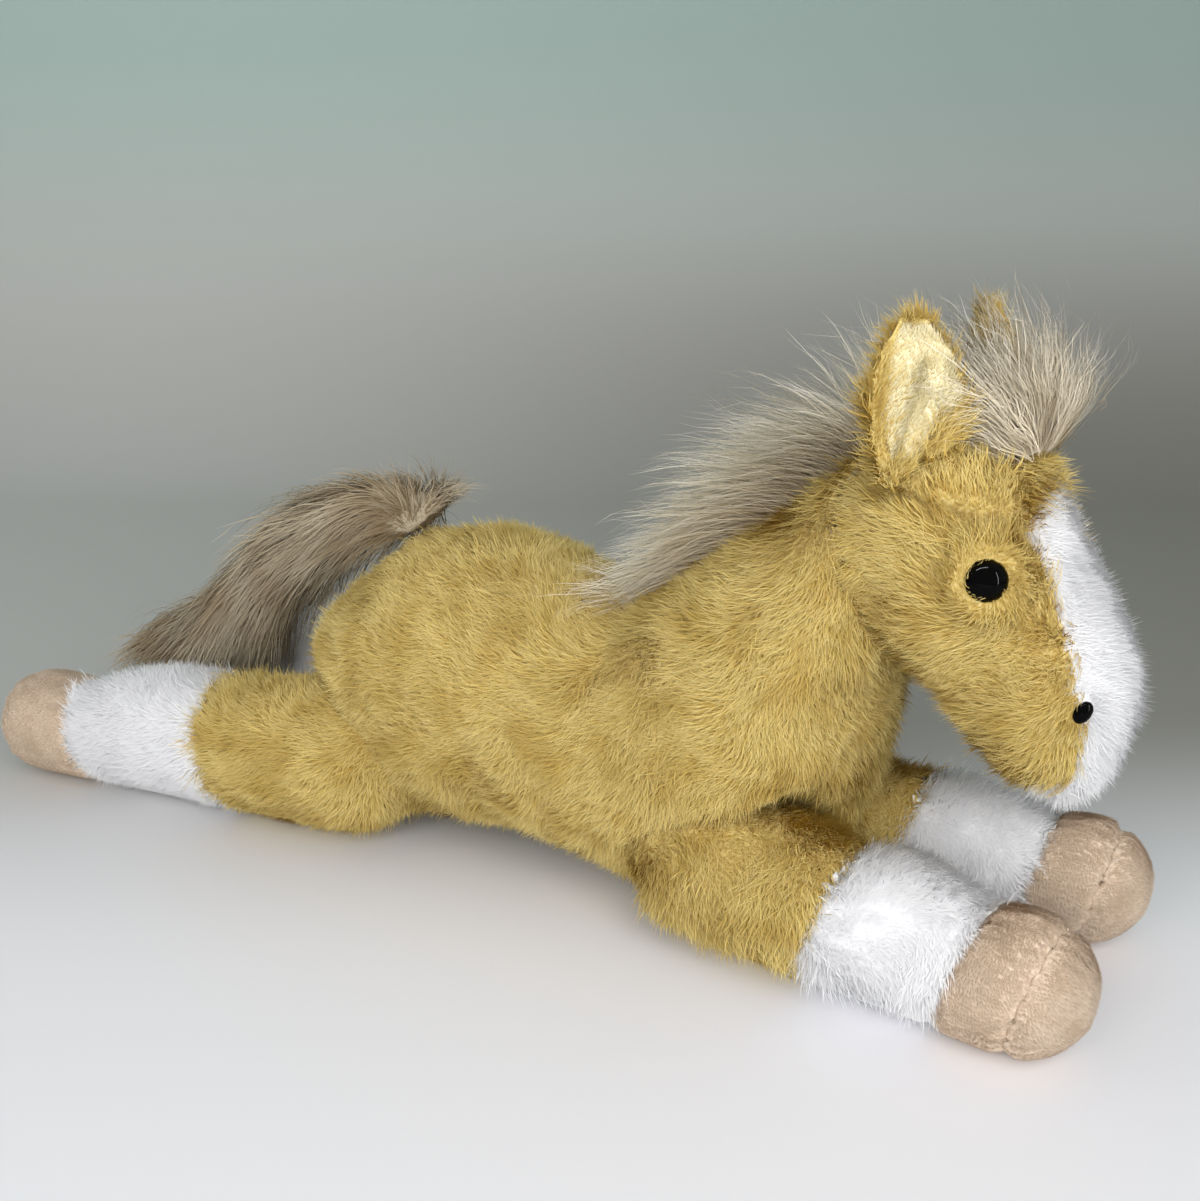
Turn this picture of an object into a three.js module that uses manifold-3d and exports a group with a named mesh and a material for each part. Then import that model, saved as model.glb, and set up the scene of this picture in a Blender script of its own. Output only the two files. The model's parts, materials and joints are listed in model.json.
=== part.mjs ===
// Plush horse lying on its belly, as sewn covers over their stuffing, in millimetres.
// +X points to the nose, +Y to the horse's left and +Z up. The origin is on the floor,
// midway between the tips of the fore hooves and the tips of the hind hooves.
import * as THREE from 'three';
import { mergeVertices } from 'three/addons/utils/BufferGeometryUtils.js';
import Module from 'manifold-3d';

const wasm = await Module();
wasm.setup();

// Fabric and clearances
const seamGap = 0.3; // clear space between two pieces that are sewn or pressed together
const creaseGap = 0.9; // clear space round the root of a limb that turns in its crease
const furDepth = 6; // fur fabric, backing and standing pile together
const velourDepth = 2; // short pile fabric of the hooves
const liningDepth = 1.4; // short pile fabric inside the ears
const floorPress = 0.5; // how deep the floor presses a soft form flat
const overrun = 10; // how far a cutting solid reaches past what it cuts

// Trunk: the barrel from the rump to the seam behind the shoulders, then chest and neck
const seamReach = 62; // that seam, ahead of the origin
const barrelLength = 142;
const barrelHeight = 121;
const barrelWidth = 106;
const rumpDome = 27;
const neckLength = 99; // along the crest, from the seam to the poll
const neckSlope = 37.6; // degrees above the floor
const chestReach = 87; // from the seam to the front of the chest
const throatHeight = 99;
const chestWidth = 100;

// Ribs of the barrel: place along it, top, underside, width
const barrelRibShares = [
  [0.17, 0.8, 0.12, 0.82],
  [0.31, 0.935, 0.04, 0.94],
  [0.49, 1, 0.05, 1],
  [0.74, 0.945, 0.08, 0.96],
  [1, 0.875, 0.03, 0.93],
];

// Ribs of chest and neck: top along the crest, underside ahead of the seam, its height, width
const chestRibShares = [
  [0.16, 0.26, 0, 1],
  [0.34, 0.58, 0, 1],
  [0.52, 0.85, 0.24, 0.94],
  [0.68, 0.97, 0.54, 0.84],
  [0.84, 1, 0.82, 0.75],
  [1, 1.05, 1.02, 0.68],
];

// Head: from the crown to the lip, hung on its nod axis ahead of the end of the neck
const headLength = 112;
const headWidth = 76;
const headSeat = 9; // nod axis, ahead of the middle of the neck's end
const headRoundness = 0.78; // 1 is an ellipse, less is fuller at cheeks and jaw
const crownDome = 9;
const lipDome = 9;
const nodDown = -6; // degrees about the axis to the right
const nodUp = 12; // degrees, nose up

// Ribs of the head: face side ahead and above the nod axis, throat side the same, width
const headRibShares = [
  [0.235, 0.29, -0.085, 0.265, 0.76],
  [0.31, 0.255, -0.165, 0.2, 0.86],
  [0.345, 0.15, -0.2, 0.08, 0.95],
  [0.385, 0.045, -0.18, -0.065, 0.98],
  [0.455, -0.055, -0.08, -0.215, 0.94],
  [0.52, -0.155, 0.06, -0.34, 0.84],
  [0.57, -0.255, 0.17, -0.46, 0.74],
  [0.58, -0.36, 0.27, -0.56, 0.68],
  [0.545, -0.455, 0.35, -0.59, 0.56],
];

// White panel down the face: half widths and heights over the nod axis, on a leaning plane
const blazeLean = 11; // degrees, off upright
const blazeBack = 0.24; // share of the head's length from the nod axis to that plane
const blazeOutlineShares = [
  [0, 0.19],
  [0.12, 0.16],
  [0.2, 0.1],
  [0.24, -0.05],
  [0.275, -0.15],
  [0.3, -0.23],
  [0.325, -0.3],
  [0.3, -0.42],
  [0.24, -0.56],
  [0.14, -0.74],
];

// Eyes and nostrils: place on the head as share of its ribs and degrees round from the face
const eyeDiameter = 12;
const eyeBulge = 5.2;
const eyeSink = 2.6; // how deep the eye is drawn into the fur
const eyePlaceShare = 0.385;
const eyeAngle = 63;
const shankDiameter = 4;
const shankLength = 11;
const shankRidge = 0.35;
const shankRidges = 3;
const washerDiameter = 17;
const washerThickness = 1.4;
const washerCollar = 1.6;
const washerCollarDiameter = 8.5;
const nostrilHeight = 7;
const nostrilWidth = 5;
const nostrilDepth = 4;
const nostrilPlaceShare = 0.755;
const nostrilAngle = 59;

// Ears
const earHeight = 40;
const earWidth = 29;
const earDepth = 4.6; // fur fabric of the ear, pile pressed
const earCup = 7; // how far the edges stand forward of the fold
const earRoot = 7; // length of the ear below the surface of the head, before it is trimmed
const earPlaceShare = 0.02;
const earAngle = 100;
const earFacing = 47; // degrees outward from straight ahead
const earLean = 6; // degrees outward from upright
const earFoldBack = -20; // degrees
const earFoldForward = 25; // degrees
const earWidthShares = [0.6, 0.82, 0.96, 1, 0.92, 0.7, 0.3];
const liningWidthShare = 0.82;
const liningHeightShare = 0.9;
const earEdgeShare = 0.5; // thickness at the seamed edge

// Mane along the crest, forelock on the crown
const maneHeight = 40;
const maneWidth = 19;
const maneRoot = 6;
const maneRibShares = [
  [0.04, 0.12, 0.5],
  [0.2, 0.34, 0.8],
  [0.42, 0.58, 0.95],
  [0.66, 0.82, 1],
  [0.88, 0.98, 1],
  [1.06, 0.9, 0.8],
];
const forelockHeight = 37; // over the crown
const forelockWidth = 32;
const forelockRoot = 8;
const forelockRibShares = [
  [-0.06, 0.55, -0.2, 0.5],
  [0.03, 0.92, -0.2, 0.62],
  [0.15, 1.04, -0.2, 0.9],
  [0.27, 0.94, -0.14, 1],
  [0.37, 0.68, 0.16, 0.8],
];

// Tail
const tailReach = 172;
const tailWidth = 36;
const tailPlaceShare = 0.1; // along the trunk's ribs
const tailRoot = 6; // depth of the hinge below the fur
const tailTip = 20;
const tailLift = 35; // degrees
const tailRibShares = [
  [0.09, 0.06, -0.03, -0.06, 0.4],
  [0.04, 0.165, -0.11, -0.055, 0.66],
  [-0.13, 0.185, -0.24, -0.09, 0.84],
  [-0.33, 0.13, -0.38, -0.18, 0.95],
  [-0.5, 0.02, -0.53, -0.31, 1],
  [-0.65, -0.11, -0.7, -0.42, 0.95],
  [-0.81, -0.24, -0.86, -0.47, 0.7],
];

// Legs: each lies on the floor, its root a ball in the trunk
const foreLegLength = 104;
const foreLegRadius = 26;
const foreRootSpread = 56; // across both shoulders
const foreHoofSpread = 73;
const foreHoofReach = 204.5;
const foreLean = 15; // degrees, of the seams off upright
const foreLift = 16; // degrees
const foreRibShares = [
  [0, 1],
  [0.24, 1],
  [0.43, 0.925],
  [0.55, 0.985],
  [0.7, 0.935],
  [0.84, 0.81],
  [0.92, 0.86],
  [1, 0.86],
];
const foreSockShare = 0.43;
const foreHoofShare = 0.84;
const hindLegLength = 155;
const hindLegRadius = 29.5;
const hindRootSpread = 63;
const hindHoofSpread = 114;
const hindHoofReach = 201.5;
const hindLean = -13; // degrees, of the seams off upright
const hindLift = 14; // degrees
const hindRibShares = [
  [0, 1],
  [0.2, 1],
  [0.365, 0.94],
  [0.5, 0.94],
  [0.68, 0.89],
  [0.83, 0.725],
  [0.91, 0.765],
  [1, 0.765],
];
const hindSockShare = 0.365;
const hindHoofShare = 0.83;
const hoofFront = 22; // depth of the rounded front of a hoof
const ballPlace = 0.1; // where the ball of a root passes into the leg
const soleShare = 0.42; // where the sole's seam runs, along the curve of that front

// Facets
const trunkSides = 20;
const headSides = 20;
const legSides = 14;
const hairSides = 12;
const roundSides = 16;
const beadSides = 12;
const eyeSteps = 5;
const earColumns = 8;
const domeSteps = 2;
const rumpSteps = 3;
const ballSteps = 4;
const slopeStep = 0.01; // how far along a surface its slope is taken

// Colours and finishes
const finishes = {
  gold_fur: { color: '#b0924f', roughness: 0.95, metalness: 0 },
  white_fur: { color: '#eef0f4', roughness: 0.95, metalness: 0 },
  hoof_velour: { color: '#c4ac91', roughness: 0.9, metalness: 0 },
  ear_velour: { color: '#cdc091', roughness: 0.9, metalness: 0 },
  long_hair: { color: '#ab9a82', roughness: 0.85, metalness: 0 },
  stuffing: { color: '#f4f2ec', roughness: 1, metalness: 0 },
  black_gloss: { color: '#0c0c0e', roughness: 0.12, metalness: 0 },
  lock_plastic: { color: '#e6e4de', roughness: 0.5, metalness: 0 },
};

const up = new THREE.Vector3(0, 0, 1);
const left = new THREE.Vector3(0, 1, 0);
const right = left.clone().negate();
const forward = new THREE.Vector3(1, 0, 0);
const radians = THREE.MathUtils.degToRad;
const half = (size) => size / 2;

// Solids and cuts

function solid(geometry) {
  const plain = geometry.clone();
  plain.deleteAttribute('normal');
  plain.deleteAttribute('uv');
  const merged = mergeVertices(plain);
  const corners = merged.index.array;
  const kept = [];
  for (let i = 0; i < corners.length; i += 3) {
    const [a, b, c] = [corners[i], corners[i + 1], corners[i + 2]];
    if (a !== b && b !== c && c !== a) kept.push(a, b, c);
  }
  const vertProperties = new Float32Array(merged.attributes.position.array);
  const triVerts = new Uint32Array(kept);
  return new wasm.Manifold(new wasm.Mesh({ numProp: 3, vertProperties, triVerts }));
}

function mesh(name, finish, body) {
  let geometry = body;
  if (!body.isBufferGeometry) {
    const result = body.getMesh();
    geometry = new THREE.BufferGeometry();
    geometry.setAttribute('position', new THREE.BufferAttribute(result.vertProperties, 3));
    geometry.setIndex(new THREE.BufferAttribute(result.triVerts, 1));
  }
  geometry.computeVertexNormals();
  const made = new THREE.Mesh(geometry, new THREE.MeshStandardMaterial(finishes[finish]));
  made.name = name;
  return made;
}

function signedVolume(points, corners) {
  let sum = 0;
  for (let i = 0; i < corners.length; i += 3) {
    const [a, b, c] = [points[corners[i]], points[corners[i + 1]], points[corners[i + 2]]];
    sum += a.dot(new THREE.Vector3().crossVectors(b, c));
  }
  return sum;
}

function closedGeometry(points, corners) {
  if (signedVolume(points, corners) < 0) corners.reverse();
  const geometry = new THREE.BufferGeometry();
  const places = points.flatMap((p) => p.toArray());
  geometry.setAttribute('position', new THREE.Float32BufferAttribute(places, 3));
  geometry.setIndex(corners);
  return geometry;
}

// One closed skin over a row of rings. A ring of one point is a pole, an open end gets a
// flat lid, and a looped row joins its last ring to its first, as the wall of a tube does.
function skin(rows, looped = false) {
  const rings = [...rows];
  if (!looped) {
    const total = (ring) => ring.reduce((sum, p) => sum.add(p), new THREE.Vector3());
    const lid = (ring) => [total(ring).divideScalar(ring.length)];
    if (rings[0].length > 1) rings.unshift(lid(rings[0]));
    if (rings.at(-1).length > 1) rings.push(lid(rings.at(-1)));
  }
  const points = rings.flat();
  const starts = [];
  rings.reduce((count, ring) => (starts.push(count), count + ring.length), 0);
  const corners = [];
  const pairs = looped ? rings.length : rings.length - 1;
  for (let i = 0; i < pairs; i++) {
    const next = (i + 1) % rings.length;
    const sides = Math.max(rings[i].length, rings[next].length);
    for (let k = 0; k < sides; k++) {
      const a = starts[i] + (k % rings[i].length);
      const b = starts[i] + ((k + 1) % rings[i].length);
      const c = starts[next] + ((k + 1) % rings[next].length);
      const d = starts[next] + (k % rings[next].length);
      const pole = a === b || c === d;
      const shorter = points[a].distanceTo(points[c]) < points[b].distanceTo(points[d]);
      const facets = pole || shorter ? [[a, b, c], [a, c, d]] : [[a, b, d], [b, c, d]];
      for (const facet of facets) if (new Set(facet).size > 2) corners.push(...facet);
    }
  }
  return closedGeometry(points, corners);
}

// A stuffed form, lofted through ribs. A rib is an ellipse with a top point, a low point
// and a vector to its side. The place on it runs from -1 to 0 over the dome before the
// first rib, from 0 to 1 over the ribs and from 1 to 2 over the dome past the last rib.
class StuffedForm {
  constructor(ribs, { sides, steps, startDome = 0, endDome = 0, curve = domeSteps, roundness = 1 }) {
    Object.assign(this, { ribs, startDome, endDome, sides, roundness });
    this.tops = new THREE.CatmullRomCurve3(ribs.map((rib) => rib.top));
    this.lows = new THREE.CatmullRomCurve3(ribs.map((rib) => rib.low));
    this.flanks = new THREE.CatmullRomCurve3(ribs.map((rib) => rib.side));
    const spread = (start, count) => Array.from({ length: count }, (_, i) => start + i / count);
    this.stations = [...spread(-1, curve), ...spread(0, (ribs.length - 1) * steps), ...spread(1, curve), 2];
  }

  rib(place, inset) {
    const on = Math.min(1, Math.max(0, place));
    const top = this.tops.getPoint(on);
    const low = this.lows.getPoint(on);
    const rise = top.clone().sub(low).multiplyScalar(half(1));
    const side = this.flanks.getPoint(on);
    const centre = low.clone().add(rise);
    const ahead = this.tops.getTangent(on).add(this.lows.getTangent(on));
    const along = new THREE.Vector3().crossVectors(rise, side).normalize();
    if (along.dot(ahead) < 0) along.negate();
    rise.setLength(rise.length() - inset);
    side.setLength(side.length() - inset);
    const past = place < 0 ? -place : Math.max(0, place - 1);
    const depth = place < 0 ? inset - this.startDome : this.endDome - inset;
    const turn = half(Math.PI) * past;
    centre.addScaledVector(along, depth * Math.sin(turn));
    rise.multiplyScalar(Math.cos(turn));
    side.multiplyScalar(Math.cos(turn));
    return { centre, rise, side };
  }

  curvedRing(place, inset) {
    const { centre, rise, side } = this.rib(place, inset);
    return Array.from({ length: this.sides }, (_, k) => {
      const angle = (2 * Math.PI * k) / this.sides;
      return this.round(centre, rise, side, angle);
    });
  }

  // Point of a section: an ellipse, or fuller towards its corners where roundness is under 1
  round(centre, rise, side, angle) {
    const full = (value) => Math.sign(value) * Math.abs(value) ** this.roundness;
    const across = side.clone().multiplyScalar(full(Math.sin(angle)));
    return centre.clone().addScaledVector(rise, full(Math.cos(angle))).add(across);
  }

  // Between two stations a ring lies on the flat facets, so that pieces of one form nest
  ring(place, inset) {
    if (place === -1 || place === 2) return [this.rib(place, inset).centre];
    const next = this.stations.findIndex((station) => station >= place);
    const [low, high] = [this.stations[next - 1], this.stations[next]];
    if (high === place) return this.curvedRing(place, inset);
    const ends = this.curvedRing(high, inset);
    return this.curvedRing(low, inset).map((p, k) => p.lerp(ends[k], (place - low) / (high - low)));
  }

  rings(from, to, inset) {
    const between = this.stations.filter((station) => station > from && station < to);
    return [from, ...between, to].map((place) => this.ring(place, inset));
  }

  full(inset, from = this.startDome ? -1 : 0, to = this.endDome ? 2 : 1) {
    return skin(this.rings(from, to, inset));
  }

  // A cover over part of the form: a tube, or a bag where it takes in one of the domes
  wall(from, to, depth) {
    const outside = this.rings(from, to, 0);
    const inside = this.rings(from, to, depth).reverse();
    if (from === -1) return skin([...outside, ...inside]);
    if (to === 2) return skin([...inside, ...outside]);
    return skin([...outside, ...inside], true);
  }

  // Point and outward direction on the cover
  surface(place, degrees) {
    const at = (p, angle) => {
      const { centre, rise, side } = this.rib(p, 0);
      return this.round(centre, rise, side, angle);
    };
    const angle = radians(degrees);
    const point = at(place, angle);
    const lengthwise = at(place + slopeStep, angle).sub(point);
    const around = at(place, angle + slopeStep).sub(point);
    const normal = lengthwise.cross(around).normalize();
    if (normal.dot(point.clone().sub(this.rib(place, 0).centre)) < 0) normal.negate();
    return { point, normal };
  }
}

function turned(geometry, pivot, axis, degrees) {
  const turn = new THREE.Matrix4().makeRotationAxis(axis, radians(degrees));
  const there = new THREE.Matrix4().makeTranslation(pivot);
  const back = new THREE.Matrix4().makeTranslation(pivot.clone().negate());
  return geometry.clone().applyMatrix4(there.multiply(turn).multiply(back));
}

// The room that a moving piece needs: itself at each of the angles it turns to
function swept(geometry, pivot, axis, angles) {
  return angles
    .map((angle) => solid(turned(geometry, pivot, axis, angle)))
    .reduce((room, next) => room.add(next));
}

function aboveFloor(body) {
  const size = 2 * (barrelLength + foreLegLength + hindLegLength + tailReach);
  const ground = new THREE.BoxGeometry(size, size, overrun).translate(0, 0, -half(overrun));
  return body.subtract(solid(ground));
}

// Trunk

const seamTop = new THREE.Vector3(seamReach, 0, barrelHeight * barrelRibShares.at(-1)[1]);

function crestPoint(share) {
  const slope = radians(neckSlope);
  return seamTop.clone()
    .addScaledVector(forward, neckLength * share * Math.cos(slope))
    .addScaledVector(up, neckLength * share * Math.sin(slope));
}

function barrelRib([along, top, low, width]) {
  const x = seamReach - barrelLength * (1 - along);
  return {
    top: new THREE.Vector3(x, 0, barrelHeight * top),
    low: new THREE.Vector3(x, 0, barrelHeight * low - floorPress),
    side: new THREE.Vector3(0, half(barrelWidth) * width, 0),
  };
}

function chestRib([crest, along, height, width]) {
  return {
    top: crestPoint(crest),
    low: new THREE.Vector3(seamReach + chestReach * along, 0, throatHeight * height - floorPress),
    side: new THREE.Vector3(0, half(chestWidth) * width, 0),
  };
}

const trunkRibs = [...barrelRibShares.map(barrelRib), ...chestRibShares.map(chestRib)];
const trunkForm = new StuffedForm(trunkRibs, {
  sides: trunkSides, steps: 2, startDome: rumpDome, curve: rumpSteps,
});
const seamPlace = (barrelRibShares.length - 1) / (trunkRibs.length - 1);

// Head

const neckEnd = trunkForm.rib(1, 0).centre;
const nodAxis = neckEnd.clone().addScaledVector(forward, headSeat);

function headRib([faceX, faceZ, throatX, throatZ, width]) {
  const on = (x, z) => nodAxis.clone().add(new THREE.Vector3(headLength * x, 0, headLength * z));
  return {
    top: on(faceX, faceZ),
    low: on(throatX, throatZ),
    side: new THREE.Vector3(0, half(headWidth) * width, 0),
  };
}

const headForm = new StuffedForm(headRibShares.map(headRib), {
  sides: headSides, steps: 1, startDome: crownDome, endDome: lipDome, roundness: headRoundness,
});
const nodAngles = [nodDown, 0, half(nodUp), nodUp];

// Legs

// The ribs lean more and more up to the seam of the sock, and alike from there on
function legForm({ length, radius, rootSpread, hoofSpread, reach, lean, ribShares, sockShare, side, ahead }) {
  const hoof = new THREE.Vector3(ahead * reach, half(side * hoofSpread), 0);
  const rise = half(hoofSpread - rootSpread);
  const run = Math.sqrt(length ** 2 - rise ** 2);
  const root = new THREE.Vector3(hoof.x - ahead * run, half(side * rootSpread), 0);
  const along = hoof.clone().sub(root).normalize();
  const across = new THREE.Vector3().crossVectors(up, along);
  const ribs = ribShares.map(([share, girth]) => {
    const r = radius * girth;
    const centre = root.clone().addScaledVector(along, length * share).addScaledVector(up, r - floorPress);
    const leant = Math.tan(radians(lean)) * Math.min(1, share / sockShare);
    const tall = up.clone().addScaledVector(forward, leant).multiplyScalar(r);
    const wide = across.clone().multiplyScalar(r);
    return { top: centre.clone().add(tall), low: centre.clone().sub(tall), side: wide };
  });
  const form = new StuffedForm(ribs, {
    sides: legSides, steps: 1, startDome: radius, endDome: hoofFront, curve: ballSteps,
  });
  const pivot = root.clone().setZ(radius - floorPress);
  return { form, pivot, length };
}

const foreLeg = (side) => legForm({
  length: foreLegLength, radius: foreLegRadius, reach: foreHoofReach,
  rootSpread: foreRootSpread, hoofSpread: foreHoofSpread,
  lean: foreLean, ribShares: foreRibShares, sockShare: foreSockShare, side, ahead: 1,
});
const hindLeg = (side) => legForm({
  length: hindLegLength, radius: hindLegRadius, reach: hindHoofReach,
  rootSpread: hindRootSpread, hoofSpread: hindHoofSpread,
  lean: hindLean, ribShares: hindRibShares, sockShare: hindSockShare, side, ahead: -1,
});

// A leg turns up about its ball, a fore leg about the axis to the right, a hind leg to the left
const foreAngles = [0, foreLift];
const hindAngles = [0, hindLift];
const sides = { right: -1, left: 1 };
const ribPlace = (shares, share) => {
  const next = shares.findIndex((rib) => rib[0] >= share);
  const [before, after] = [shares[Math.max(0, next - 1)][0], shares[next][0]];
  const part = after === before ? 1 : (share - before) / (after - before);
  return (next - 1 + part) / (shares.length - 1);
};

function legPieces(name, leg, ribShares, sockShare, hoofShare) {
  const { form, length } = leg;
  const seamShare = seamGap / length;
  const gapShare = half(seamShare);
  const at = (share) => ribPlace(ribShares, share);
  const soleSeam = 1 + soleShare;
  const soleGap = half(seamGap) / hoofFront;
  const stuffing = skin([
    ...form.rings(-1, at(hoofShare + seamShare), furDepth + seamGap),
    ...form.rings(at(hoofShare + seamShare + gapShare), 2, velourDepth + seamGap),
  ]);
  const pieces = {
    cover: ['gold_fur', form.wall(-1, at(sockShare - gapShare), furDepth)],
    sock: ['white_fur', form.wall(at(sockShare + gapShare), at(hoofShare - gapShare), furDepth)],
    hoof: ['hoof_velour', form.wall(at(hoofShare + gapShare), soleSeam - soleGap, velourDepth)],
    sole: ['hoof_velour', form.wall(soleSeam + soleGap, 2, velourDepth)],
    stuffing: ['stuffing', stuffing],
  };
  return Object.entries(pieces).map(([piece, [finish, geometry]]) =>
    mesh(`${name}_${piece}`, finish, aboveFloor(solid(geometry))));
}

// Room in the trunk for one leg: the ball of its root, and the leg at both ends of its turn
function legRoom({ form, pivot }, axis, angles) {
  const ball = solid(form.full(-creaseGap, -1, ballPlace));
  return ball.add(swept(form.full(-creaseGap, 0, 1), pivot, axis, angles));
}

function limbRoom() {
  const rooms = [swept(headForm.full(-seamGap), nodAxis, right, nodAngles)];
  for (const side of Object.values(sides)) {
    rooms.push(legRoom(foreLeg(side), right, foreAngles), legRoom(hindLeg(side), left, hindAngles));
  }
  return rooms.reduce((room, next) => room.add(next));
}

// Eyes: a domed button on a ridged shank, held behind the fabric by a washer

function eyeProfile(grow = 0) {
  const r = half(eyeDiameter) + grow;
  const dome = Array.from({ length: eyeSteps + 1 }, (_, i) => {
    const turn = (half(Math.PI) * i) / eyeSteps;
    return new THREE.Vector2(r * Math.sin(turn), (eyeBulge + grow) * Math.cos(turn));
  });
  return dome.reverse();
}

function eyeGeometry() {
  const r = half(shankDiameter);
  const pitch = shankLength / (shankRidges + 1);
  const shank = [new THREE.Vector2(0, -shankLength), new THREE.Vector2(r - shankRidge, -shankLength)];
  for (let i = shankRidges; i > 0; i--) {
    shank.push(new THREE.Vector2(r, -pitch * (i + half(1))));
    shank.push(new THREE.Vector2(r, -pitch * i));
    shank.push(new THREE.Vector2(r - shankRidge, -pitch * i));
  }
  shank.push(new THREE.Vector2(r - shankRidge, 0));
  return new THREE.LatheGeometry([...shank, ...eyeProfile()], roundSides).rotateX(half(Math.PI));
}

function eyeRoom() {
  const r = half(shankDiameter) + seamGap;
  const shank = [new THREE.Vector2(0, -shankLength - seamGap), new THREE.Vector2(r, -shankLength - seamGap)];
  const seat = [new THREE.Vector2(r, -seamGap), new THREE.Vector2(half(eyeDiameter) + seamGap, -seamGap)];
  const profile = [...shank, ...seat, ...eyeProfile(seamGap)];
  return new THREE.LatheGeometry(profile, roundSides).rotateX(half(Math.PI));
}

const washerSeat = furDepth - eyeSink + seamGap; // behind the fabric, measured from the eye's back

function washerGeometry(grow = 0) {
  const bore = grow ? 0 : half(shankDiameter) + half(seamGap);
  const front = -washerSeat + grow;
  const back = -washerSeat - washerThickness - grow;
  const profile = [
    new THREE.Vector2(bore, back - washerCollar),
    new THREE.Vector2(half(washerCollarDiameter) + grow, back - washerCollar),
    new THREE.Vector2(half(washerCollarDiameter) + grow, back),
    new THREE.Vector2(half(washerDiameter) + grow, back),
    new THREE.Vector2(half(washerDiameter) + grow, front),
    new THREE.Vector2(bore, front),
  ];
  if (!grow) profile.push(profile[0].clone());
  return new THREE.LatheGeometry(profile, roundSides).rotateX(half(Math.PI));
}

function eyePlace(side) {
  const { point, normal } = headForm.surface(eyePlaceShare, side * eyeAngle);
  const position = point.addScaledVector(normal, -eyeSink);
  const quaternion = new THREE.Quaternion().setFromUnitVectors(up, normal);
  return new THREE.Matrix4().compose(position, quaternion, new THREE.Vector3(1, 1, 1));
}

function nostrilGeometry(grow = 0) {
  const bead = new THREE.SphereGeometry(1, beadSides, half(beadSides));
  return bead.scale(half(nostrilWidth) + grow, half(nostrilHeight) + grow, half(nostrilDepth) + grow);
}

function nostrilPlace(side) {
  const { point, normal } = headForm.surface(nostrilPlaceShare, side * nostrilAngle);
  const quaternion = new THREE.Quaternion().setFromUnitVectors(up, normal);
  return new THREE.Matrix4().compose(point, quaternion, new THREE.Vector3(1, 1, 1));
}

// White panel: what a leaning prism of its outline takes out of the head's cover

function blazePrism(grow) {
  const edge = blazeOutlineShares.map(([width, height]) => {
    const corner = new THREE.Vector2(headWidth * width, headLength * height);
    return width ? corner.setX(corner.x + grow) : corner.setY(corner.y + grow);
  });
  const otherEdge = edge.slice(1).reverse().map((p) => new THREE.Vector2(-p.x, p.y));
  const shape = new THREE.Shape([...edge, ...otherEdge]);
  const prism = new THREE.ExtrudeGeometry(shape, { depth: headLength, bevelEnabled: false });
  const axes = new THREE.Matrix4().makeBasis(left, up, forward);
  prism.applyMatrix4(axes);
  prism.rotateY(radians(-blazeLean));
  return prism.translate(nodAxis.x + headLength * blazeBack - grow, 0, nodAxis.z);
}

// Ears: a bent leaf of fur fabric with a lining on its hollow side

function earLeaf(side, offset, thickness, widthShare, heightShare) {
  const seat = headForm.surface(earPlaceShare, side * earAngle).point;
  const facing = forward.clone().applyAxisAngle(up, side * radians(earFacing));
  const across = new THREE.Vector3().crossVectors(up, facing);
  const tall = up.clone().applyAxisAngle(forward, -side * radians(earLean));
  const middle = (u, v) => {
    const height = (earHeight + earRoot) * heightShare * u - earRoot;
    const step = Math.min(earWidthShares.length - 2, Math.floor(u * (earWidthShares.length - 1)));
    const part = u * (earWidthShares.length - 1) - step;
    const width = THREE.MathUtils.lerp(earWidthShares[step], earWidthShares[step + 1], part);
    const spread = Math.abs(v * widthShare);
    return seat.clone()
      .addScaledVector(tall, height)
      .addScaledVector(across, half(earWidth) * width * widthShare * v)
      .addScaledVector(facing, earCup * spread * (half(1) + half(spread)) * width);
  };
  const face = (u, v, lift) => {
    const around = middle(u, v + slopeStep).sub(middle(u, v - slopeStep));
    const lengthwise = middle(Math.min(1, u + slopeStep), v).sub(middle(Math.max(0, u - slopeStep), v));
    const normal = around.cross(lengthwise).normalize();
    if (normal.dot(facing) < 0) normal.negate();
    return middle(u, v).addScaledVector(normal, lift);
  };
  const rows = earWidthShares.length - 1;
  const ring = (u) => {
    const front = [];
    const back = [];
    for (let k = 0; k <= earColumns; k++) {
      const v = (2 * k) / earColumns - 1;
      const edge = half(thickness) * (Math.abs(v) < 1 ? 1 : earEdgeShare);
      front.push(face(u, v, offset + edge));
      back.unshift(face(u, v, offset - edge));
    }
    return [...front, ...back];
  };
  const rings = Array.from({ length: rows + 1 }, (_, i) => ring(i / rows));
  return flatEnded(rings);
}

// A skin over thin rings, with each end closed by strips between its front and its back
function flatEnded(rings) {
  const size = rings[0].length;
  const points = rings.flat();
  const corners = [];
  for (let i = 0; i + 1 < rings.length; i++) {
    for (let k = 0; k < size; k++) {
      const [a, b] = [i * size + k, i * size + ((k + 1) % size)];
      corners.push(a, b, b + size, a, b + size, a + size);
    }
  }
  const last = (rings.length - 1) * size;
  for (let k = 0; k < half(size) - 1; k++) {
    const [a, b, c, d] = [k, k + 1, size - 2 - k, size - 1 - k];
    corners.push(a, c, b, a, d, c);
    corners.push(last + a, last + b, last + c, last + a, last + c, last + d);
  }
  return closedGeometry(points, corners);
}

// Ears fold about the line of stitches at their base
function earHinge(side) {
  const { point } = headForm.surface(earPlaceShare, side * earAngle);
  const axis = left.clone().applyAxisAngle(up, side * radians(earFacing));
  return { pivot: point, axis };
}

// Hair

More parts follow.
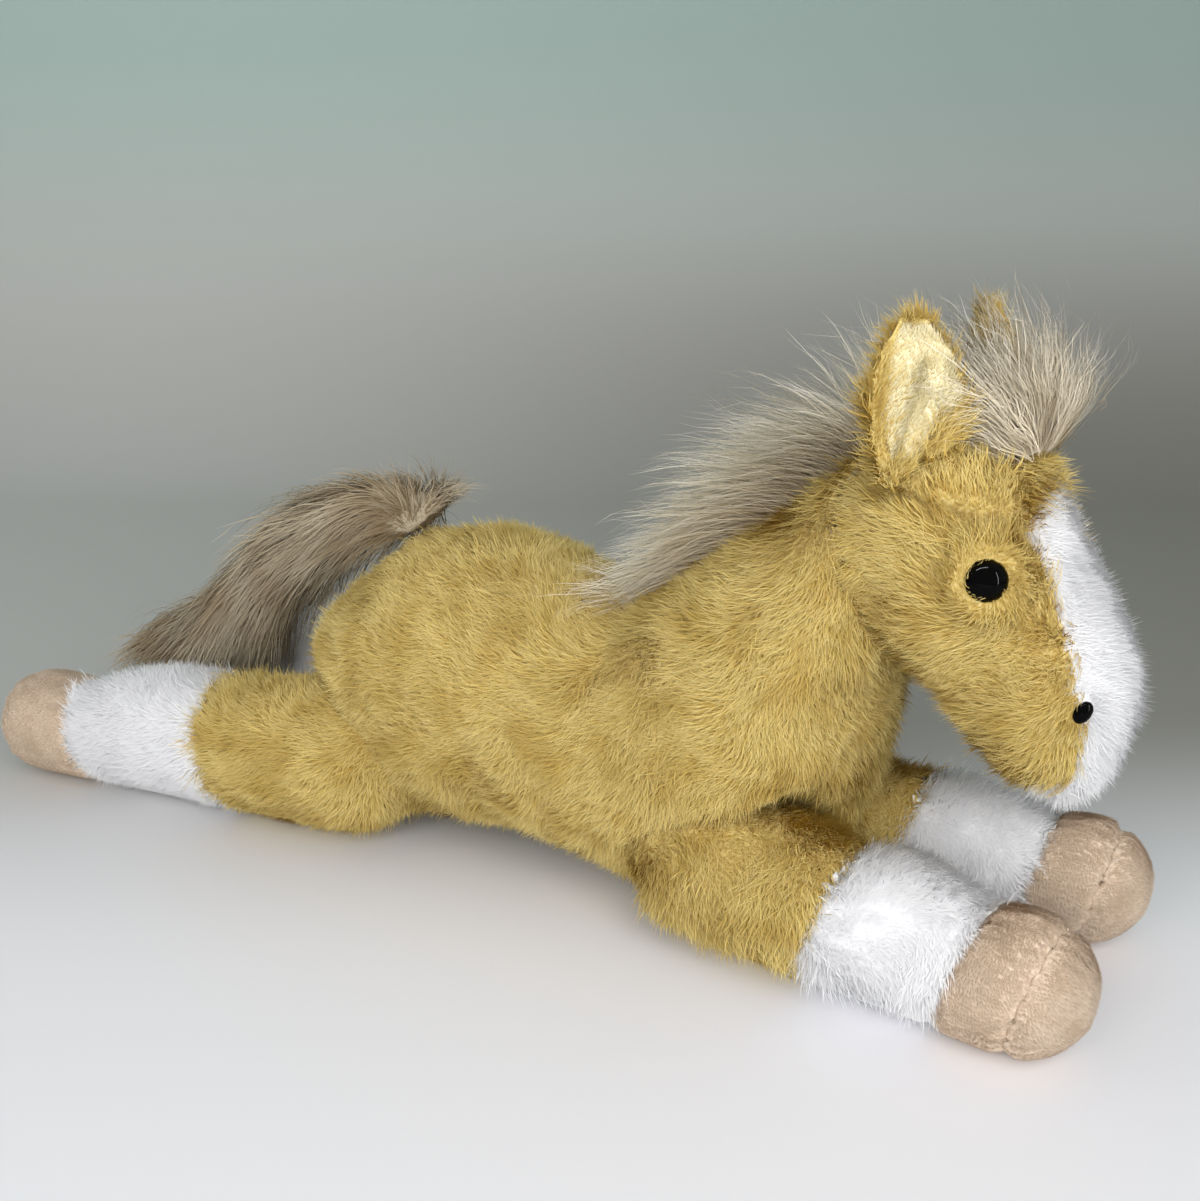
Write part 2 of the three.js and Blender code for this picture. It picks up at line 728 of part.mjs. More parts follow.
function maneForm() {
  const slope = radians(neckSlope);
  const away = new THREE.Vector3(-Math.sin(slope), 0, Math.cos(slope));
  const ribs = maneRibShares.map(([along, height, width]) => ({
    top: crestPoint(along).addScaledVector(away, maneHeight * height),
    low: crestPoint(along).addScaledVector(away, -maneRoot),
    side: new THREE.Vector3(0, half(maneWidth) * width, 0),
  }));
  return new StuffedForm(ribs, { sides: hairSides, steps: 1, startDome: maneRoot, endDome: maneRoot });
}

function forelockForm() {
  const crown = nodAxis.z + headLength * headRibShares[0][1];
  const ribs = forelockRibShares.map(([along, top, low, width]) => {
    const x = nodAxis.x + headLength * along;
    return {
      top: new THREE.Vector3(x, 0, crown + forelockHeight * top),
      low: new THREE.Vector3(x, 0, crown + forelockHeight * low),
      side: new THREE.Vector3(0, half(forelockWidth) * width, 0),
    };
  });
  const ends = { startDome: forelockRoot, endDome: forelockRoot };
  return new StuffedForm(ribs, { sides: hairSides, steps: 1, ...ends });
}

const tailHinge = trunkForm.surface(tailPlaceShare, 0).point.addScaledVector(up, -tailRoot);

function tailForm() {
  const ribs = tailRibShares.map(([topX, topZ, lowX, lowZ, width]) => ({
    top: tailHinge.clone().add(new THREE.Vector3(tailReach * topX, 0, tailReach * topZ)),
    low: tailHinge.clone().add(new THREE.Vector3(tailReach * lowX, 0, tailReach * lowZ)),
    side: new THREE.Vector3(0, half(tailWidth) * width, 0),
  }));
  return new StuffedForm(ribs, { sides: hairSides, steps: 1, startDome: tailRoot, endDome: tailTip });
}

// Assembly

function trunkGroup() {
  const group = new THREE.Group();
  const room = limbRoom();
  const placeGap = half(seamGap) / (barrelLength + neckLength);
  const barrel = solid(trunkForm.wall(-1, seamPlace - placeGap, furDepth));
  const chest = solid(trunkForm.wall(seamPlace + placeGap, 1, furDepth));
  const stuffing = solid(trunkForm.full(furDepth + seamGap));
  group.add(mesh('barrel_cover', 'gold_fur', aboveFloor(barrel.subtract(room))));
  group.add(mesh('chest_neck_cover', 'gold_fur', aboveFloor(chest.subtract(room))));
  group.add(mesh('trunk_stuffing', 'stuffing', aboveFloor(stuffing.subtract(room))));
  const headRoom = swept(headForm.full(-seamGap), nodAxis, right, nodAngles);
  const forelockRoom = swept(forelockForm().full(-seamGap), nodAxis, right, nodAngles);
  const maneRoom = solid(trunkForm.full(-seamGap)).add(headRoom).add(forelockRoom);
  group.add(mesh('mane', 'long_hair', solid(maneForm().full(0)).subtract(maneRoom)));
  return group;
}

function tailGroup() {
  const group = new THREE.Group();
  const rump = swept(trunkForm.full(-seamGap), tailHinge, left, [0, -half(tailLift), -tailLift]);
  group.add(mesh('tail', 'long_hair', solid(tailForm().full(0)).subtract(rump)));
  return group;
}

function headGroup() {
  const group = new THREE.Group();
  const inside = solid(headForm.full(furDepth));
  let cover = solid(headForm.full(0)).subtract(inside);
  let stuffing = solid(headForm.full(furDepth + seamGap));
  for (const [name, side] of Object.entries(sides)) {
    const eye = eyePlace(side);
    const shank = solid(eyeRoom().applyMatrix4(eye));
    const lock = shank.add(solid(washerGeometry(seamGap).applyMatrix4(eye)));
    cover = cover.subtract(lock);
    stuffing = stuffing.subtract(lock);
    const nostril = nostrilPlace(side);
    cover = cover.subtract(solid(nostrilGeometry(seamGap).applyMatrix4(nostril)));
    const pieces = [
      mesh(`eye_${name}`, 'black_gloss', eyeGeometry()),
      mesh(`eye_washer_${name}`, 'lock_plastic', washerGeometry()),
    ];
    for (const piece of pieces) piece.applyMatrix4(eye);
    const bead = mesh(`nostril_${name}`, 'black_gloss', nostrilGeometry());
    bead.applyMatrix4(nostril);
    group.add(...pieces, bead);
  }
  const blaze = cover.intersect(solid(blazePrism(0)));
  group.add(mesh('blaze_panel', 'white_fur', blaze));
  group.add(mesh('head_cover', 'gold_fur', cover.subtract(solid(blazePrism(seamGap)))));
  group.add(mesh('head_stuffing', 'stuffing', stuffing));
  const neckRoom = swept(trunkForm.full(-creaseGap), nodAxis, left, nodAngles);
  const forelockRoom = solid(headForm.full(-seamGap)).add(neckRoom).add(earRoom());
  group.add(mesh('forelock', 'long_hair', solid(forelockForm().full(0)).subtract(forelockRoom)));
  return group;
}

const earBack = (side, grow = 0) => earLeaf(side, 0, earDepth + 2 * grow, 1, 1);
const earLining = (side) => earLeaf(
  side, half(earDepth) + seamGap + half(liningDepth), liningDepth, liningWidthShare, liningHeightShare,
);
const earAngles = [earFoldBack, half(earFoldBack), 0, half(earFoldForward), earFoldForward];

function earRoom() {
  const rooms = Object.values(sides).map((side) => {
    const { pivot, axis } = earHinge(side);
    return swept(earBack(side, 2 * liningDepth), pivot, axis, earAngles);
  });
  return rooms[0].add(rooms[1]);
}

function earGroup(name, side) {
  const group = new THREE.Group();
  const { pivot, axis } = earHinge(side);
  const head = swept(headForm.full(-seamGap), pivot, axis, earAngles.map((angle) => -angle));
  group.add(mesh(`ear_${name}`, 'gold_fur', solid(earBack(side)).subtract(head)));
  group.add(mesh(`ear_lining_${name}`, 'ear_velour', solid(earLining(side)).subtract(head)));
  return group;
}

const group = new THREE.Group();
group.add(trunkGroup(), headGroup(), tailGroup());
for (const [name, side] of Object.entries(sides)) {
  group.add(earGroup(name, side));
  group.add(...legPieces(`foreleg_${name}`, foreLeg(side), foreRibShares, foreSockShare, foreHoofShare));
  group.add(...legPieces(`hindleg_${name}`, hindLeg(side), hindRibShares, hindSockShare, hindHoofShare));
}

export default group;
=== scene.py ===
"""Plush horse lying on its belly: fur, velour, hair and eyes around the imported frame."""

import json
import logging
import math
from dataclasses import dataclass, field
from enum import Enum
from typing import Callable

import bmesh
import bpy
import numpy as np
from mathutils import Matrix, Vector
from mathutils.bvhtree import BVHTree

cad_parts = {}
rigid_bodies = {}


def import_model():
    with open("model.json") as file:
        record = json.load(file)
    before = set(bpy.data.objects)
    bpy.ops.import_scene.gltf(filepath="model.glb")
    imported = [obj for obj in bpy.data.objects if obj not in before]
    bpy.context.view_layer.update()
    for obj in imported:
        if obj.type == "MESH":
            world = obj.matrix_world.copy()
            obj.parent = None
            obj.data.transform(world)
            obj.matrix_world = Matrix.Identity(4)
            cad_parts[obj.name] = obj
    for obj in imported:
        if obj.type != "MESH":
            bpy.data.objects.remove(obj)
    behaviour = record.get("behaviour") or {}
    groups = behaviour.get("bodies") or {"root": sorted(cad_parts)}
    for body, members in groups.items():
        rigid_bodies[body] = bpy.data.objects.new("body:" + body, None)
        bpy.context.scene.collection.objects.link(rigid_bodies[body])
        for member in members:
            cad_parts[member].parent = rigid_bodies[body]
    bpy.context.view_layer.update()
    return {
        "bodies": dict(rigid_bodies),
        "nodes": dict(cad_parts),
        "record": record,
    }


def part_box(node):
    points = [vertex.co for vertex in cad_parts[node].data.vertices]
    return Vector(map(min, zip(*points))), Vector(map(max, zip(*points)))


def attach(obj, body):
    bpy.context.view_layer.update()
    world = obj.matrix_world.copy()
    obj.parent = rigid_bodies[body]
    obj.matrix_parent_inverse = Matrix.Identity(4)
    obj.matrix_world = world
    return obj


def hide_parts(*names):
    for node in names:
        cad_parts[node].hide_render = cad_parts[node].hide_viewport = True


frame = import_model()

log = logging.getLogger("plush_horse")

MM = 0.001
UP = (0.0, 0.0, 1.0)
SIDES = ("right", "left")
TINY = 1e-12
WELD = 1e-6
FINE_WELD = 1e-7
SCREEN_STEPS = 255
TOE_END, TOE_SLOPE = 0.04045, 12.92
CURVE_SHIFT, CURVE_SCALE, CURVE_POWER = 0.055, 1.055, 2.4
NOISE_MIDDLE = 0.5
QUARTER_TURN = 90

Colour = tuple[float, float, float, float]
Span = tuple[float, float]
Field = Callable[[np.ndarray], np.ndarray]


def linear(red: int, green: int, blue: int) -> Colour:
    """Turns a colour as a screen shows it, 0 to 255, into the light that a shader reads."""
    parts = [c / SCREEN_STEPS for c in (red, green, blue)]
    curve = [((c + CURVE_SHIFT) / CURVE_SCALE) ** CURVE_POWER for c in parts]
    return (*[c / TOE_SLOPE if c <= TOE_END else bent for c, bent in zip(parts, curve)], 1.0)


def ramped(values: np.ndarray, low: float, high: float) -> np.ndarray:
    """Rises smoothly from 0 at low to 1 at high."""
    t = np.clip((values - low) / (high - low), 0, 1)
    return t * t * (3 - 2 * t)


def bell(values: np.ndarray, width: float) -> np.ndarray:
    """Falls smoothly from 1 at zero to near 0 at twice the width."""
    return np.exp(-((values / width) ** 2))


def unit(vectors: np.ndarray) -> np.ndarray:
    """Scales rows to length 1."""
    return vectors / np.maximum(np.linalg.norm(vectors, axis=-1, keepdims=True), TINY)


def toward(first: np.ndarray, second: np.ndarray, share: np.ndarray) -> np.ndarray:
    """Goes from the first rows to the second by a share of each row."""
    return first * (1 - share)[:, None] + second * share[:, None]


def new_object(name: str, data: bpy.types.ID) -> bpy.types.Object:
    """Makes an object at the origin of the scene.

    Args:
        name: Its name.
        data: Its mesh, lamp or camera.

    Returns:
        The object.
    """
    made = bpy.data.objects.new(name, data)
    bpy.context.scene.collection.objects.link(made)
    return made


def modify(obj: bpy.types.Object, kind: str, **settings: object) -> bpy.types.Modifier:
    """Adds a modifier.

    Args:
        obj: The object that gets it.
        kind: The modifier's type.
        settings: Its properties, by name.

    Returns:
        The modifier.
    """
    made = obj.modifiers.new(kind.lower(), kind)
    for name, value in settings.items():
        setattr(made, name, value)
    return made


def baked(obj: bpy.types.Object) -> bpy.types.Mesh:
    """Gives the mesh that an object has after its modifiers, and removes the object.

    Args:
        obj: The object.

    Returns:
        The plain mesh.
    """
    graph = bpy.context.evaluated_depsgraph_get()
    graph.update()
    shown = obj.evaluated_get(graph)
    mesh = bpy.data.meshes.new_from_object(shown, preserve_all_data_layers=True, depsgraph=graph)
    bpy.data.objects.remove(obj)
    return mesh


def fitted(piece: bpy.types.Object, body: str, node: str = "") -> None:
    """Lets a piece ride on its body, hides the CAD node that it stands for, and reports it.

    Args:
        piece: The finished piece.
        body: The CAD body.
        node: The CAD node that the piece stands for, if it stands for one.
    """
    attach(piece, body)
    if node:
        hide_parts(node)
    log.info("%s: %d faces", piece.name, len(piece.data.polygons))


class NodeWriter:
    """Writes the nodes of one tree.

    Capitals give the places of two inputs and of the output, on nodes that repeat their names.
    """

    MIX_COLOURS = (6, 7, 2)
    MIX_VECTORS = (4, 5, 1)
    RANDOM_NUMBERS = (2, 3, 1)

    def __init__(self, tree: bpy.types.NodeTree) -> None:
        """Starts on a tree."""
        self.tree = tree

    def node(self, kind: str, settings: dict | None = None, sockets: dict | None = None) -> bpy.types.Node:
        """Adds a node.

        Args:
            kind: The node's type.
            settings: Properties that are set first.
            sockets: Values or links of its inputs, by name or by place.

        Returns:
            The node.
        """
        made = self.tree.nodes.new(kind)
        for name, value in (settings or {}).items():
            setattr(made, name, value)
        for key, value in (sockets or {}).items():
            self.feed(made.inputs[key], value)
        return made

    def feed(self, socket: bpy.types.NodeSocket, value: object) -> None:
        """Links or sets an input.

        Args:
            socket: The input.
            value: A wire or an output to link, or a plain value.
        """
        if isinstance(value, Wire):
            value = value.socket
        if isinstance(value, bpy.types.NodeSocket):
            self.tree.links.new(value, socket)
        else:
            socket.default_value = value

    def wire(self, kind: str, settings: dict | None = None, sockets: dict | None = None,
             output: str | int = 0) -> "Wire":
        """Adds a node and gives one of its outputs, ready for arithmetic."""
        return Wire(self, self.node(kind, settings, sockets).outputs[output])

    def vector(self, operation: str, *values: object, output: str | int = 0) -> "Wire":
        """Adds a Vector Math node on the given values."""
        return self.wire("ShaderNodeVectorMath", {"operation": operation}, dict(enumerate(values)), output)

    def joined(self, x: object = 0.0, y: object = 0.0, z: object = 0.0) -> "Wire":
        """Makes a vector of three numbers."""
        return self.wire("ShaderNodeCombineXYZ", None, {0: x, 1: y, 2: z})

    def scaled(self, vector: object, factor: object) -> "Wire":
        """Multiplies a vector by a number."""
        return self.wire("ShaderNodeVectorMath", {"operation": "SCALE"}, {"Vector": vector, "Scale": factor})

    def mixed(self, factor: object, first: object, second: object, blend: str = "MIX") -> "Wire":
        """Mixes two colours.

        Args:
            factor: The share of the second.
            first: The first colour.
            second: The second colour.
            blend: The way that they are mixed.

        Returns:
            The mixed colour.
        """
        low, high, output = self.MIX_COLOURS
        settings = {"data_type": "RGBA", "blend_type": blend}
        return self.wire("ShaderNodeMix", settings, {0: factor, low: first, high: second}, output)

    def turned(self, factor: object, first: object, second: object) -> "Wire":
        """Mixes two vectors.

        Args:
            factor: The share of the second.
            first: The first vector.
            second: The second vector.

        Returns:
            The mixed vector.
        """
        low, high, output = self.MIX_VECTORS
        sockets = {0: factor, low: first, high: second}
        return self.wire("ShaderNodeMix", {"data_type": "VECTOR"}, sockets, output)

    def noise(self, place: object, scale: object, detail: float = 2.0, output: str | int = 0) -> "Wire":
        """Adds a Noise Texture, whose scale counts cells in a metre."""
        sockets = {"Vector": place, "Scale": scale, "Detail": detail}
        return self.wire("ShaderNodeTexNoise", None, sockets, output)

    def place(self) -> "Wire":
        """Reads the place on the object."""
        return self.wire("ShaderNodeTexCoord", None, None, "Object")


class Wire:
    """An output socket whose arithmetic adds Math nodes."""

    def __init__(self, writer: NodeWriter, socket: bpy.types.NodeSocket) -> None:
        """Wraps a socket of the writer's tree."""
        self.writer = writer
        self.socket = socket

    def _math(self, operation: str, *values: object) -> "Wire":
        """Adds a Math node on the given values."""
        return self.writer.wire("ShaderNodeMath", {"operation": operation}, dict(enumerate(values)))

    def __add__(self, other: object) -> "Wire":
        """Adds."""
        return self._math("ADD", self, other)

    __radd__ = __add__

    def __sub__(self, other: object) -> "Wire":
        """Takes away."""
        return self._math("SUBTRACT", self, other)

    def __rsub__(self, other: object) -> "Wire":
        """Is taken away from the other value."""
        return self._math("SUBTRACT", other, self)

    def __mul__(self, other: object) -> "Wire":
        """Multiplies."""
        return self._math("MULTIPLY", self, other)

    __rmul__ = __mul__

    def __pow__(self, other: object) -> "Wire":
        """Raises to a power."""
        return self._math("POWER", self, other)

    def at_least(self, other: object) -> "Wire":
        """Gives the larger of the two."""
        return self._math("MAXIMUM", self, other)

    def between(self, low: float, high: float, start: float = 0.0, end: float = 1.0) -> "Wire":
        """Maps low and high to start and end, smoothly and clamped."""
        sockets = {"Value": self, "From Min": low, "From Max": high, "To Min": start, "To Max": end}
        return self.writer.wire("ShaderNodeMapRange", {"interpolation_type": "SMOOTHSTEP"}, sockets)


class Attribute(Enum):
    """Names of the values that strands carry for their shader."""

    ALONG = "along"
    TONE = "tone"


def new_material(name: str, **uniform: object) -> tuple[bpy.types.Material, NodeWriter, bpy.types.Node]:
    """Makes a material.

    Args:
        name: Its name.
        uniform: What is the same all over, by socket, with _ for a space.

    Returns:
        The material, the writer of its nodes and its shader.
    """
    material = bpy.data.materials.new(name)
    material.use_nodes = True
    shader = material.node_tree.nodes["Principled BSDF"]
    for key, value in uniform.items():
        shader.inputs[key.replace("_", " ")].default_value = value
    return material, NodeWriter(material.node_tree), shader


@dataclass(frozen=True)
class FurFinish:
    """Dyed pile: darker at the root, paler at the tip, uneven from strand to strand."""

    name: str
    slot: str
    root: Colour
    middle: Colour
    tip: Colour
    patch: Colour
    patch_scale: float = 45.0
    uneven: float = 0.35
    roughness: float = 0.75
    roughness_spread: float = 0.15
    specular: float = 0.03
    root_span: Span = (0.0, 0.55)
    tip_span: Span = (0.4, 1.0)
    patch_span: Span = (0.42, 0.7)
    patch_detail: float = 3.0
    patch_share: float = 0.6
    grain_scale: float = 900.0
    grain_detail: float = 4.0
    grain_span: Span = (0.35, 0.65)
    grain_strength: float = 0.5
    grain_depth: float = 0.5 * MM

    def strands(self) -> bpy.types.Material:
        """Makes the material of the standing pile.

        Returns:
            The material.
        """
        material, writer, shader = self._plain("pile")
        along = writer.wire("ShaderNodeAttribute", {"attribute_name": Attribute.ALONG.value}, None, "Fac")
        tone = writer.wire("ShaderNodeAttribute", {"attribute_name": Attribute.TONE.value}, None, "Fac")
        length = writer.mixed(along.between(*self.root_span), self.root, self.middle)
        length = writer.mixed(along.between(*self.tip_span), length, self.tip)
        patches = writer.noise(writer.place(), self.patch_scale, self.patch_detail).between(*self.patch_span)
        coloured = writer.mixed(patches * self.patch_share, length, self.patch)
        bright = tone * self.uneven + (1 - self.uneven / 2)
        writer.feed(shader.inputs["Base Color"], writer.scaled(coloured, bright))
        rough = tone * self.roughness_spread + (self.roughness - self.roughness_spread / 2)
        writer.feed(shader.inputs["Roughness"], rough)
        return material

    def ground(self) -> bpy.types.Material:
        """Makes the material of the backing, seen between the roots.

        Returns:
            The material.
        """
        material, writer, shader = self._plain("backing")
        grain = writer.noise(writer.place(), self.grain_scale, self.grain_detail)
        colour = writer.mixed(grain.between(*self.grain_span), self.middle, self.tip)
        writer.feed(shader.inputs["Base Color"], colour)
        sockets = {"Strength": self.grain_strength, "Distance": self.grain_depth, "Height": grain}
        writer.feed(shader.inputs["Normal"], writer.wire("ShaderNodeBump", None, sockets))
        return material

    def _plain(self, part: str) -> tuple[bpy.types.Material, NodeWriter, bpy.types.Node]:
        """Makes a material with its uniform sockets set."""
        return new_material(f"{self.name}_{part}", Roughness=self.roughness, Specular_IOR_Level=self.specular)


@dataclass(frozen=True)
class GlossFinish:
    """Polished black plastic with fine wear."""

    name: str = "black_gloss"
    slot: str = "black_gloss"
    colour: Colour = linear(2, 2, 2)
    specular: float = 0.06
    wear_scale: float = 2500.0
    wear_detail: float = 3.0
    wear_span: Span = (0.4, 0.8)
    roughness_span: Span = (0.05, 0.12)

    def make(self) -> bpy.types.Material:
        """Makes the material.

        Returns:
            The material.
        """
        material, writer, shader = new_material(
            self.name, Base_Color=self.colour, Specular_IOR_Level=self.specular,
        )
        wear = writer.noise(writer.place(), self.wear_scale, self.wear_detail)
        writer.feed(shader.inputs["Roughness"], wear.between(*self.wear_span, *self.roughness_span))
        return material


GOLD = FurFinish(
    "gold_fur", "gold_fur", root=linear(180, 147, 72), middle=linear(212, 184, 104),
    tip=linear(238, 218, 149), patch=linear(184, 150, 72), patch_scale=70.0, uneven=0.25,
)
WHITE = FurFinish(
    "white_fur", "white_fur", root=linear(236, 236, 238), middle=linear(248, 248, 249),
    tip=linear(252, 252, 253), patch=linear(246, 246, 247), uneven=0.08,
)
HOOF = FurFinish(
    "hoof_velour", "hoof_velour", root=linear(180, 156, 130), middle=linear(214, 192, 168),
    tip=linear(232, 213, 192), patch=linear(188, 164, 138), uneven=0.2, patch_scale=110.0,
)
EAR = FurFinish(
    "ear_velour", "ear_velour", root=linear(190, 170, 112), middle=linear(238, 226, 180),
    tip=linear(250, 243, 212), patch=linear(226, 210, 158), uneven=0.3, patch_scale=80.0,
)
HAIR = FurFinish(
    "long_hair", "long_hair", root=linear(232, 217, 188), middle=linear(247, 237, 214),
    tip=linear(253, 247, 232), patch=linear(234, 219, 190), uneven=0.18, patch_scale=30.0,
)
# Painted shade: a darker copy of the long hair, for the tail that hangs in shade.
SHADED_TAIL_HAIR = FurFinish(
    "tail_hair", "long_hair", root=linear(134, 115, 86), middle=linear(176, 163, 138),
    tip=linear(198, 186, 162), patch=linear(142, 120, 88), uneven=0.25, patch_scale=30.0,
)
FILLING = FurFinish(
    "filling", "stuffing", root=linear(225, 222, 214), middle=linear(238, 236, 230),
    tip=linear(246, 245, 241), patch=linear(232, 230, 224), uneven=0.1,
)
GLOSS = GlossFinish()


@dataclass
class Surface:
    """A surface of triangles with named values at its points."""

    points: np.ndarray
    corners: np.ndarray
    fields: dict[str, np.ndarray] = field(default_factory=dict)

    @classmethod
    def of_mesh(cls, mesh: bpy.types.Mesh) -> "Surface":
        """Reads a mesh.

        Args:
            mesh: The mesh.

        Returns:
            Its surface, without fields.
        """
        points = np.empty(len(mesh.vertices) * 3)
        mesh.vertices.foreach_get("co", points)
        mesh.calc_loop_triangles()
        corners = np.empty(len(mesh.loop_triangles) * 3, np.int32)
        mesh.loop_triangles.foreach_get("vertices", corners)
        return cls(points.reshape(-1, 3), corners.reshape(-1, 3))

    def edges(self) -> np.ndarray:
        """Lists the edges of each triangle, one side of all triangles after the other."""
        c = self.corners
        return np.concatenate([c[:, [0, 1]], c[:, [1, 2]], c[:, [2, 0]]])

    def normals(self) -> np.ndarray:
        """Finds the outward direction at each point.

        Returns:
            One unit row for each point.
        """
        a, b, c = (self.points[self.corners[:, k]] for k in range(3))
        face = np.cross(b - a, c - a)
        total = np.zeros_like(self.points)
        for k in range(3):
            np.add.at(total, self.corners[:, k], face)
        return unit(total)

    def spread(self, values: np.ndarray, rounds: int) -> np.ndarray:
        """Averages values with those of neighbouring points.

        Args:
            values: One value for each point.
            rounds: How many times over.

        Returns:
            The evened values.
        """
        edges = self.edges()
        count = np.bincount(edges.ravel(), minlength=len(self.points)).astype(float)
        for _ in range(rounds):
            total = np.zeros_like(values)
            np.add.at(total, edges[:, 0], values[edges[:, 1]])
            np.add.at(total, edges[:, 1], values[edges[:, 0]])
            values = (values + total / np.maximum(count, 1)) / 2
        return values

    def cut(self, name: str) -> "Surface":
        """Splits the triangles that cross the zero line of a field along that line.

        Args:
            name: The field.

        Returns:
            The surface with the line in it.
        """
        values = self.fields[name]
        side = values[self.corners] > 0
        crossing = side.any(1) & ~side.all(1)
        rows, sides = self.corners[crossing], side[crossing]
        lone = np.where(sides.sum(1) == 1, sides.argmax(1), (~sides).argmax(1))
        rows = rows[np.arange(len(rows))[:, None], (lone[:, None] + np.arange(3)) % 3]
        a, b, c = rows.T
        edges = np.sort(np.concatenate([np.stack([a, b], 1), np.stack([a, c], 1)]), axis=1)
        ends, index = np.unique(edges, axis=0, return_inverse=True)
        index = index.ravel() + len(self.points)
        share = values[ends[:, 0]] / (values[ends[:, 0]] - values[ends[:, 1]])

        def with_new(old: np.ndarray) -> np.ndarray:
            """Adds the values of the new points."""
            weight = share.reshape(-1, *[1] * (old.ndim - 1))
            return np.concatenate([old, old[ends[:, 0]] * (1 - weight) + old[ends[:, 1]] * weight])

        p, q = index[: len(rows)], index[len(rows):]
        new = np.concatenate([np.stack([a, p, q], 1), np.stack([p, b, c], 1), np.stack([p, c, q], 1)])
        corners = np.concatenate([self.corners[~crossing], new])
        return Surface(with_new(self.points), corners, {k: with_new(v) for k, v in self.fields.items()})

    def part(self, chosen: np.ndarray) -> "Surface":
        """Takes some of the triangles.

        Args:
            chosen: True or false for each triangle.

        Returns:
            The chosen triangles as a surface of their own.
        """
        corners = self.corners[chosen]
        used, index = np.unique(corners, return_inverse=True)
        return Surface(self.points[used], index.reshape(-1, 3), {k: v[used] for k, v in self.fields.items()})

    def halved(self) -> "Surface":
        """Splits each triangle into four.

        Returns:
            The finer surface.
        """
        ends, index = np.unique(np.sort(self.edges(), axis=1), axis=0, return_inverse=True)
        ab, bc, ca = (index.ravel() + len(self.points)).reshape(3, -1)
        a, b, c = self.corners.T
        new = [np.stack(t, 1) for t in ((a, ab, ca), (ab, b, bc), (ca, bc, c), (ab, bc, ca))]

        def with_new(old: np.ndarray) -> np.ndarray:
            """Adds the values of the new points."""
            return np.concatenate([old, (old[ends[:, 0]] + old[ends[:, 1]]) / 2])

        fields = {k: with_new(v) for k, v in self.fields.items()}
        return Surface(with_new(self.points), np.concatenate(new), fields)

    def to_object(self, name: str) -> bpy.types.Object:
        """Makes an object, with the fields as attributes of its points.

        Args:
            name: The object's name.

        Returns:
            The object.
        """
        mesh = bpy.data.meshes.new(name)
        mesh.from_pydata(self.points, [], self.corners.tolist())
        for key, values in self.fields.items():
            if values.ndim == 2:
                mesh.attributes.new(key, "FLOAT_VECTOR", "POINT").data.foreach_set("vector", values.ravel())
            else:
                mesh.attributes.new(key, "FLOAT", "POINT").data.foreach_set("value", values)
        mesh.shade_smooth()
        return new_object(name, mesh)


@dataclass(frozen=True)
class Strand:
    """A small bundle of tapered blades that rise from the ground and bend over, of length 1.

    The first blades have several segments. The straight ones have one, at the mean slope.
    """

    name: str
    blades: int
    segments: int
    width: float
    spread: float
    rise: float
    bend: float
    seed: int
    wander: float = 0.2
    roll: float = 0.5
    straight: int = 0
    lengths: Span = (0.7, 1.1)
    rises: Span = (0.7, 1.3)
    bends: Span = (0.85, 1.1)

    def make(self) -> bpy.types.Object:
        """Makes the bundle as an object that isn't shown itself.

        Returns:
            The object.
        """
        rng = np.random.default_rng(self.seed)
        points, faces, along = [], [], []
        for number in range(self.blades + self.straight):
            segments = self.segments if number < self.blades else 1
            base = len(points)
            for t, row in self._blade(rng, segments):
                points += row
                along += [t] * len(row)
            for a in range(base, base + 2 * segments - 2, 2):
                faces.append([a + 1, a, a + 2, a + 3])
            a = base + 2 * segments - 2
            faces.append([a + 1, a, a + 2])
        mesh = bpy.data.meshes.new(self.name)
        mesh.from_pydata(points, [], faces)
        mesh.attributes.new(Attribute.ALONG.value, "FLOAT", "POINT").data.foreach_set("value", along)
        made = new_object(self.name, mesh)
        made.hide_render = made.hide_viewport = True
        return made

    def _blade(self, rng: np.random.Generator, segments: int) -> list[tuple[float, list[np.ndarray]]]:
        """Bends one blade.

        Args:
            rng: The bundle's random numbers.
            segments: How many steps the blade is bent in.

        Returns:
            For each step its share of the length, and its two points, or at the tip its one point.
        """
        turn = rng.normal(0, self.wander)
        start = rng.normal(0, self.spread / 2, 2)
        length = rng.uniform(*self.lengths)
        roll = rng.uniform(-self.roll, self.roll)
        first, last = self.rise * rng.uniform(*self.rises), self.bend * rng.uniform(*self.bends)
        if segments == 1:
            first = last = (first + last) / 2
        up = np.array(UP)
        ahead = np.array([math.cos(turn), math.sin(turn), 0])
        side = np.array([-math.sin(turn), math.cos(turn), 0]) * math.cos(roll) + up * math.sin(roll)
        spot = np.array([start[0], start[1], 0])
        rows = []
        for k in range(segments):
            t = k / segments
            half = self.width / 2 * (1 - t**2)
            rows.append((t, [spot - side * half, spot + side * half]))
            angle = math.radians(first + (last - first) * t)
            spot = spot + (ahead * math.sin(angle) + up * math.cos(angle)) * length / segments
        return rows + [(1.0, [spot])]


class Salt(Enum):
    """What keeps the random numbers of one tree apart."""

    TURN = 3
    LEAN = 5
    LENGTH = 7
    TONE = 11


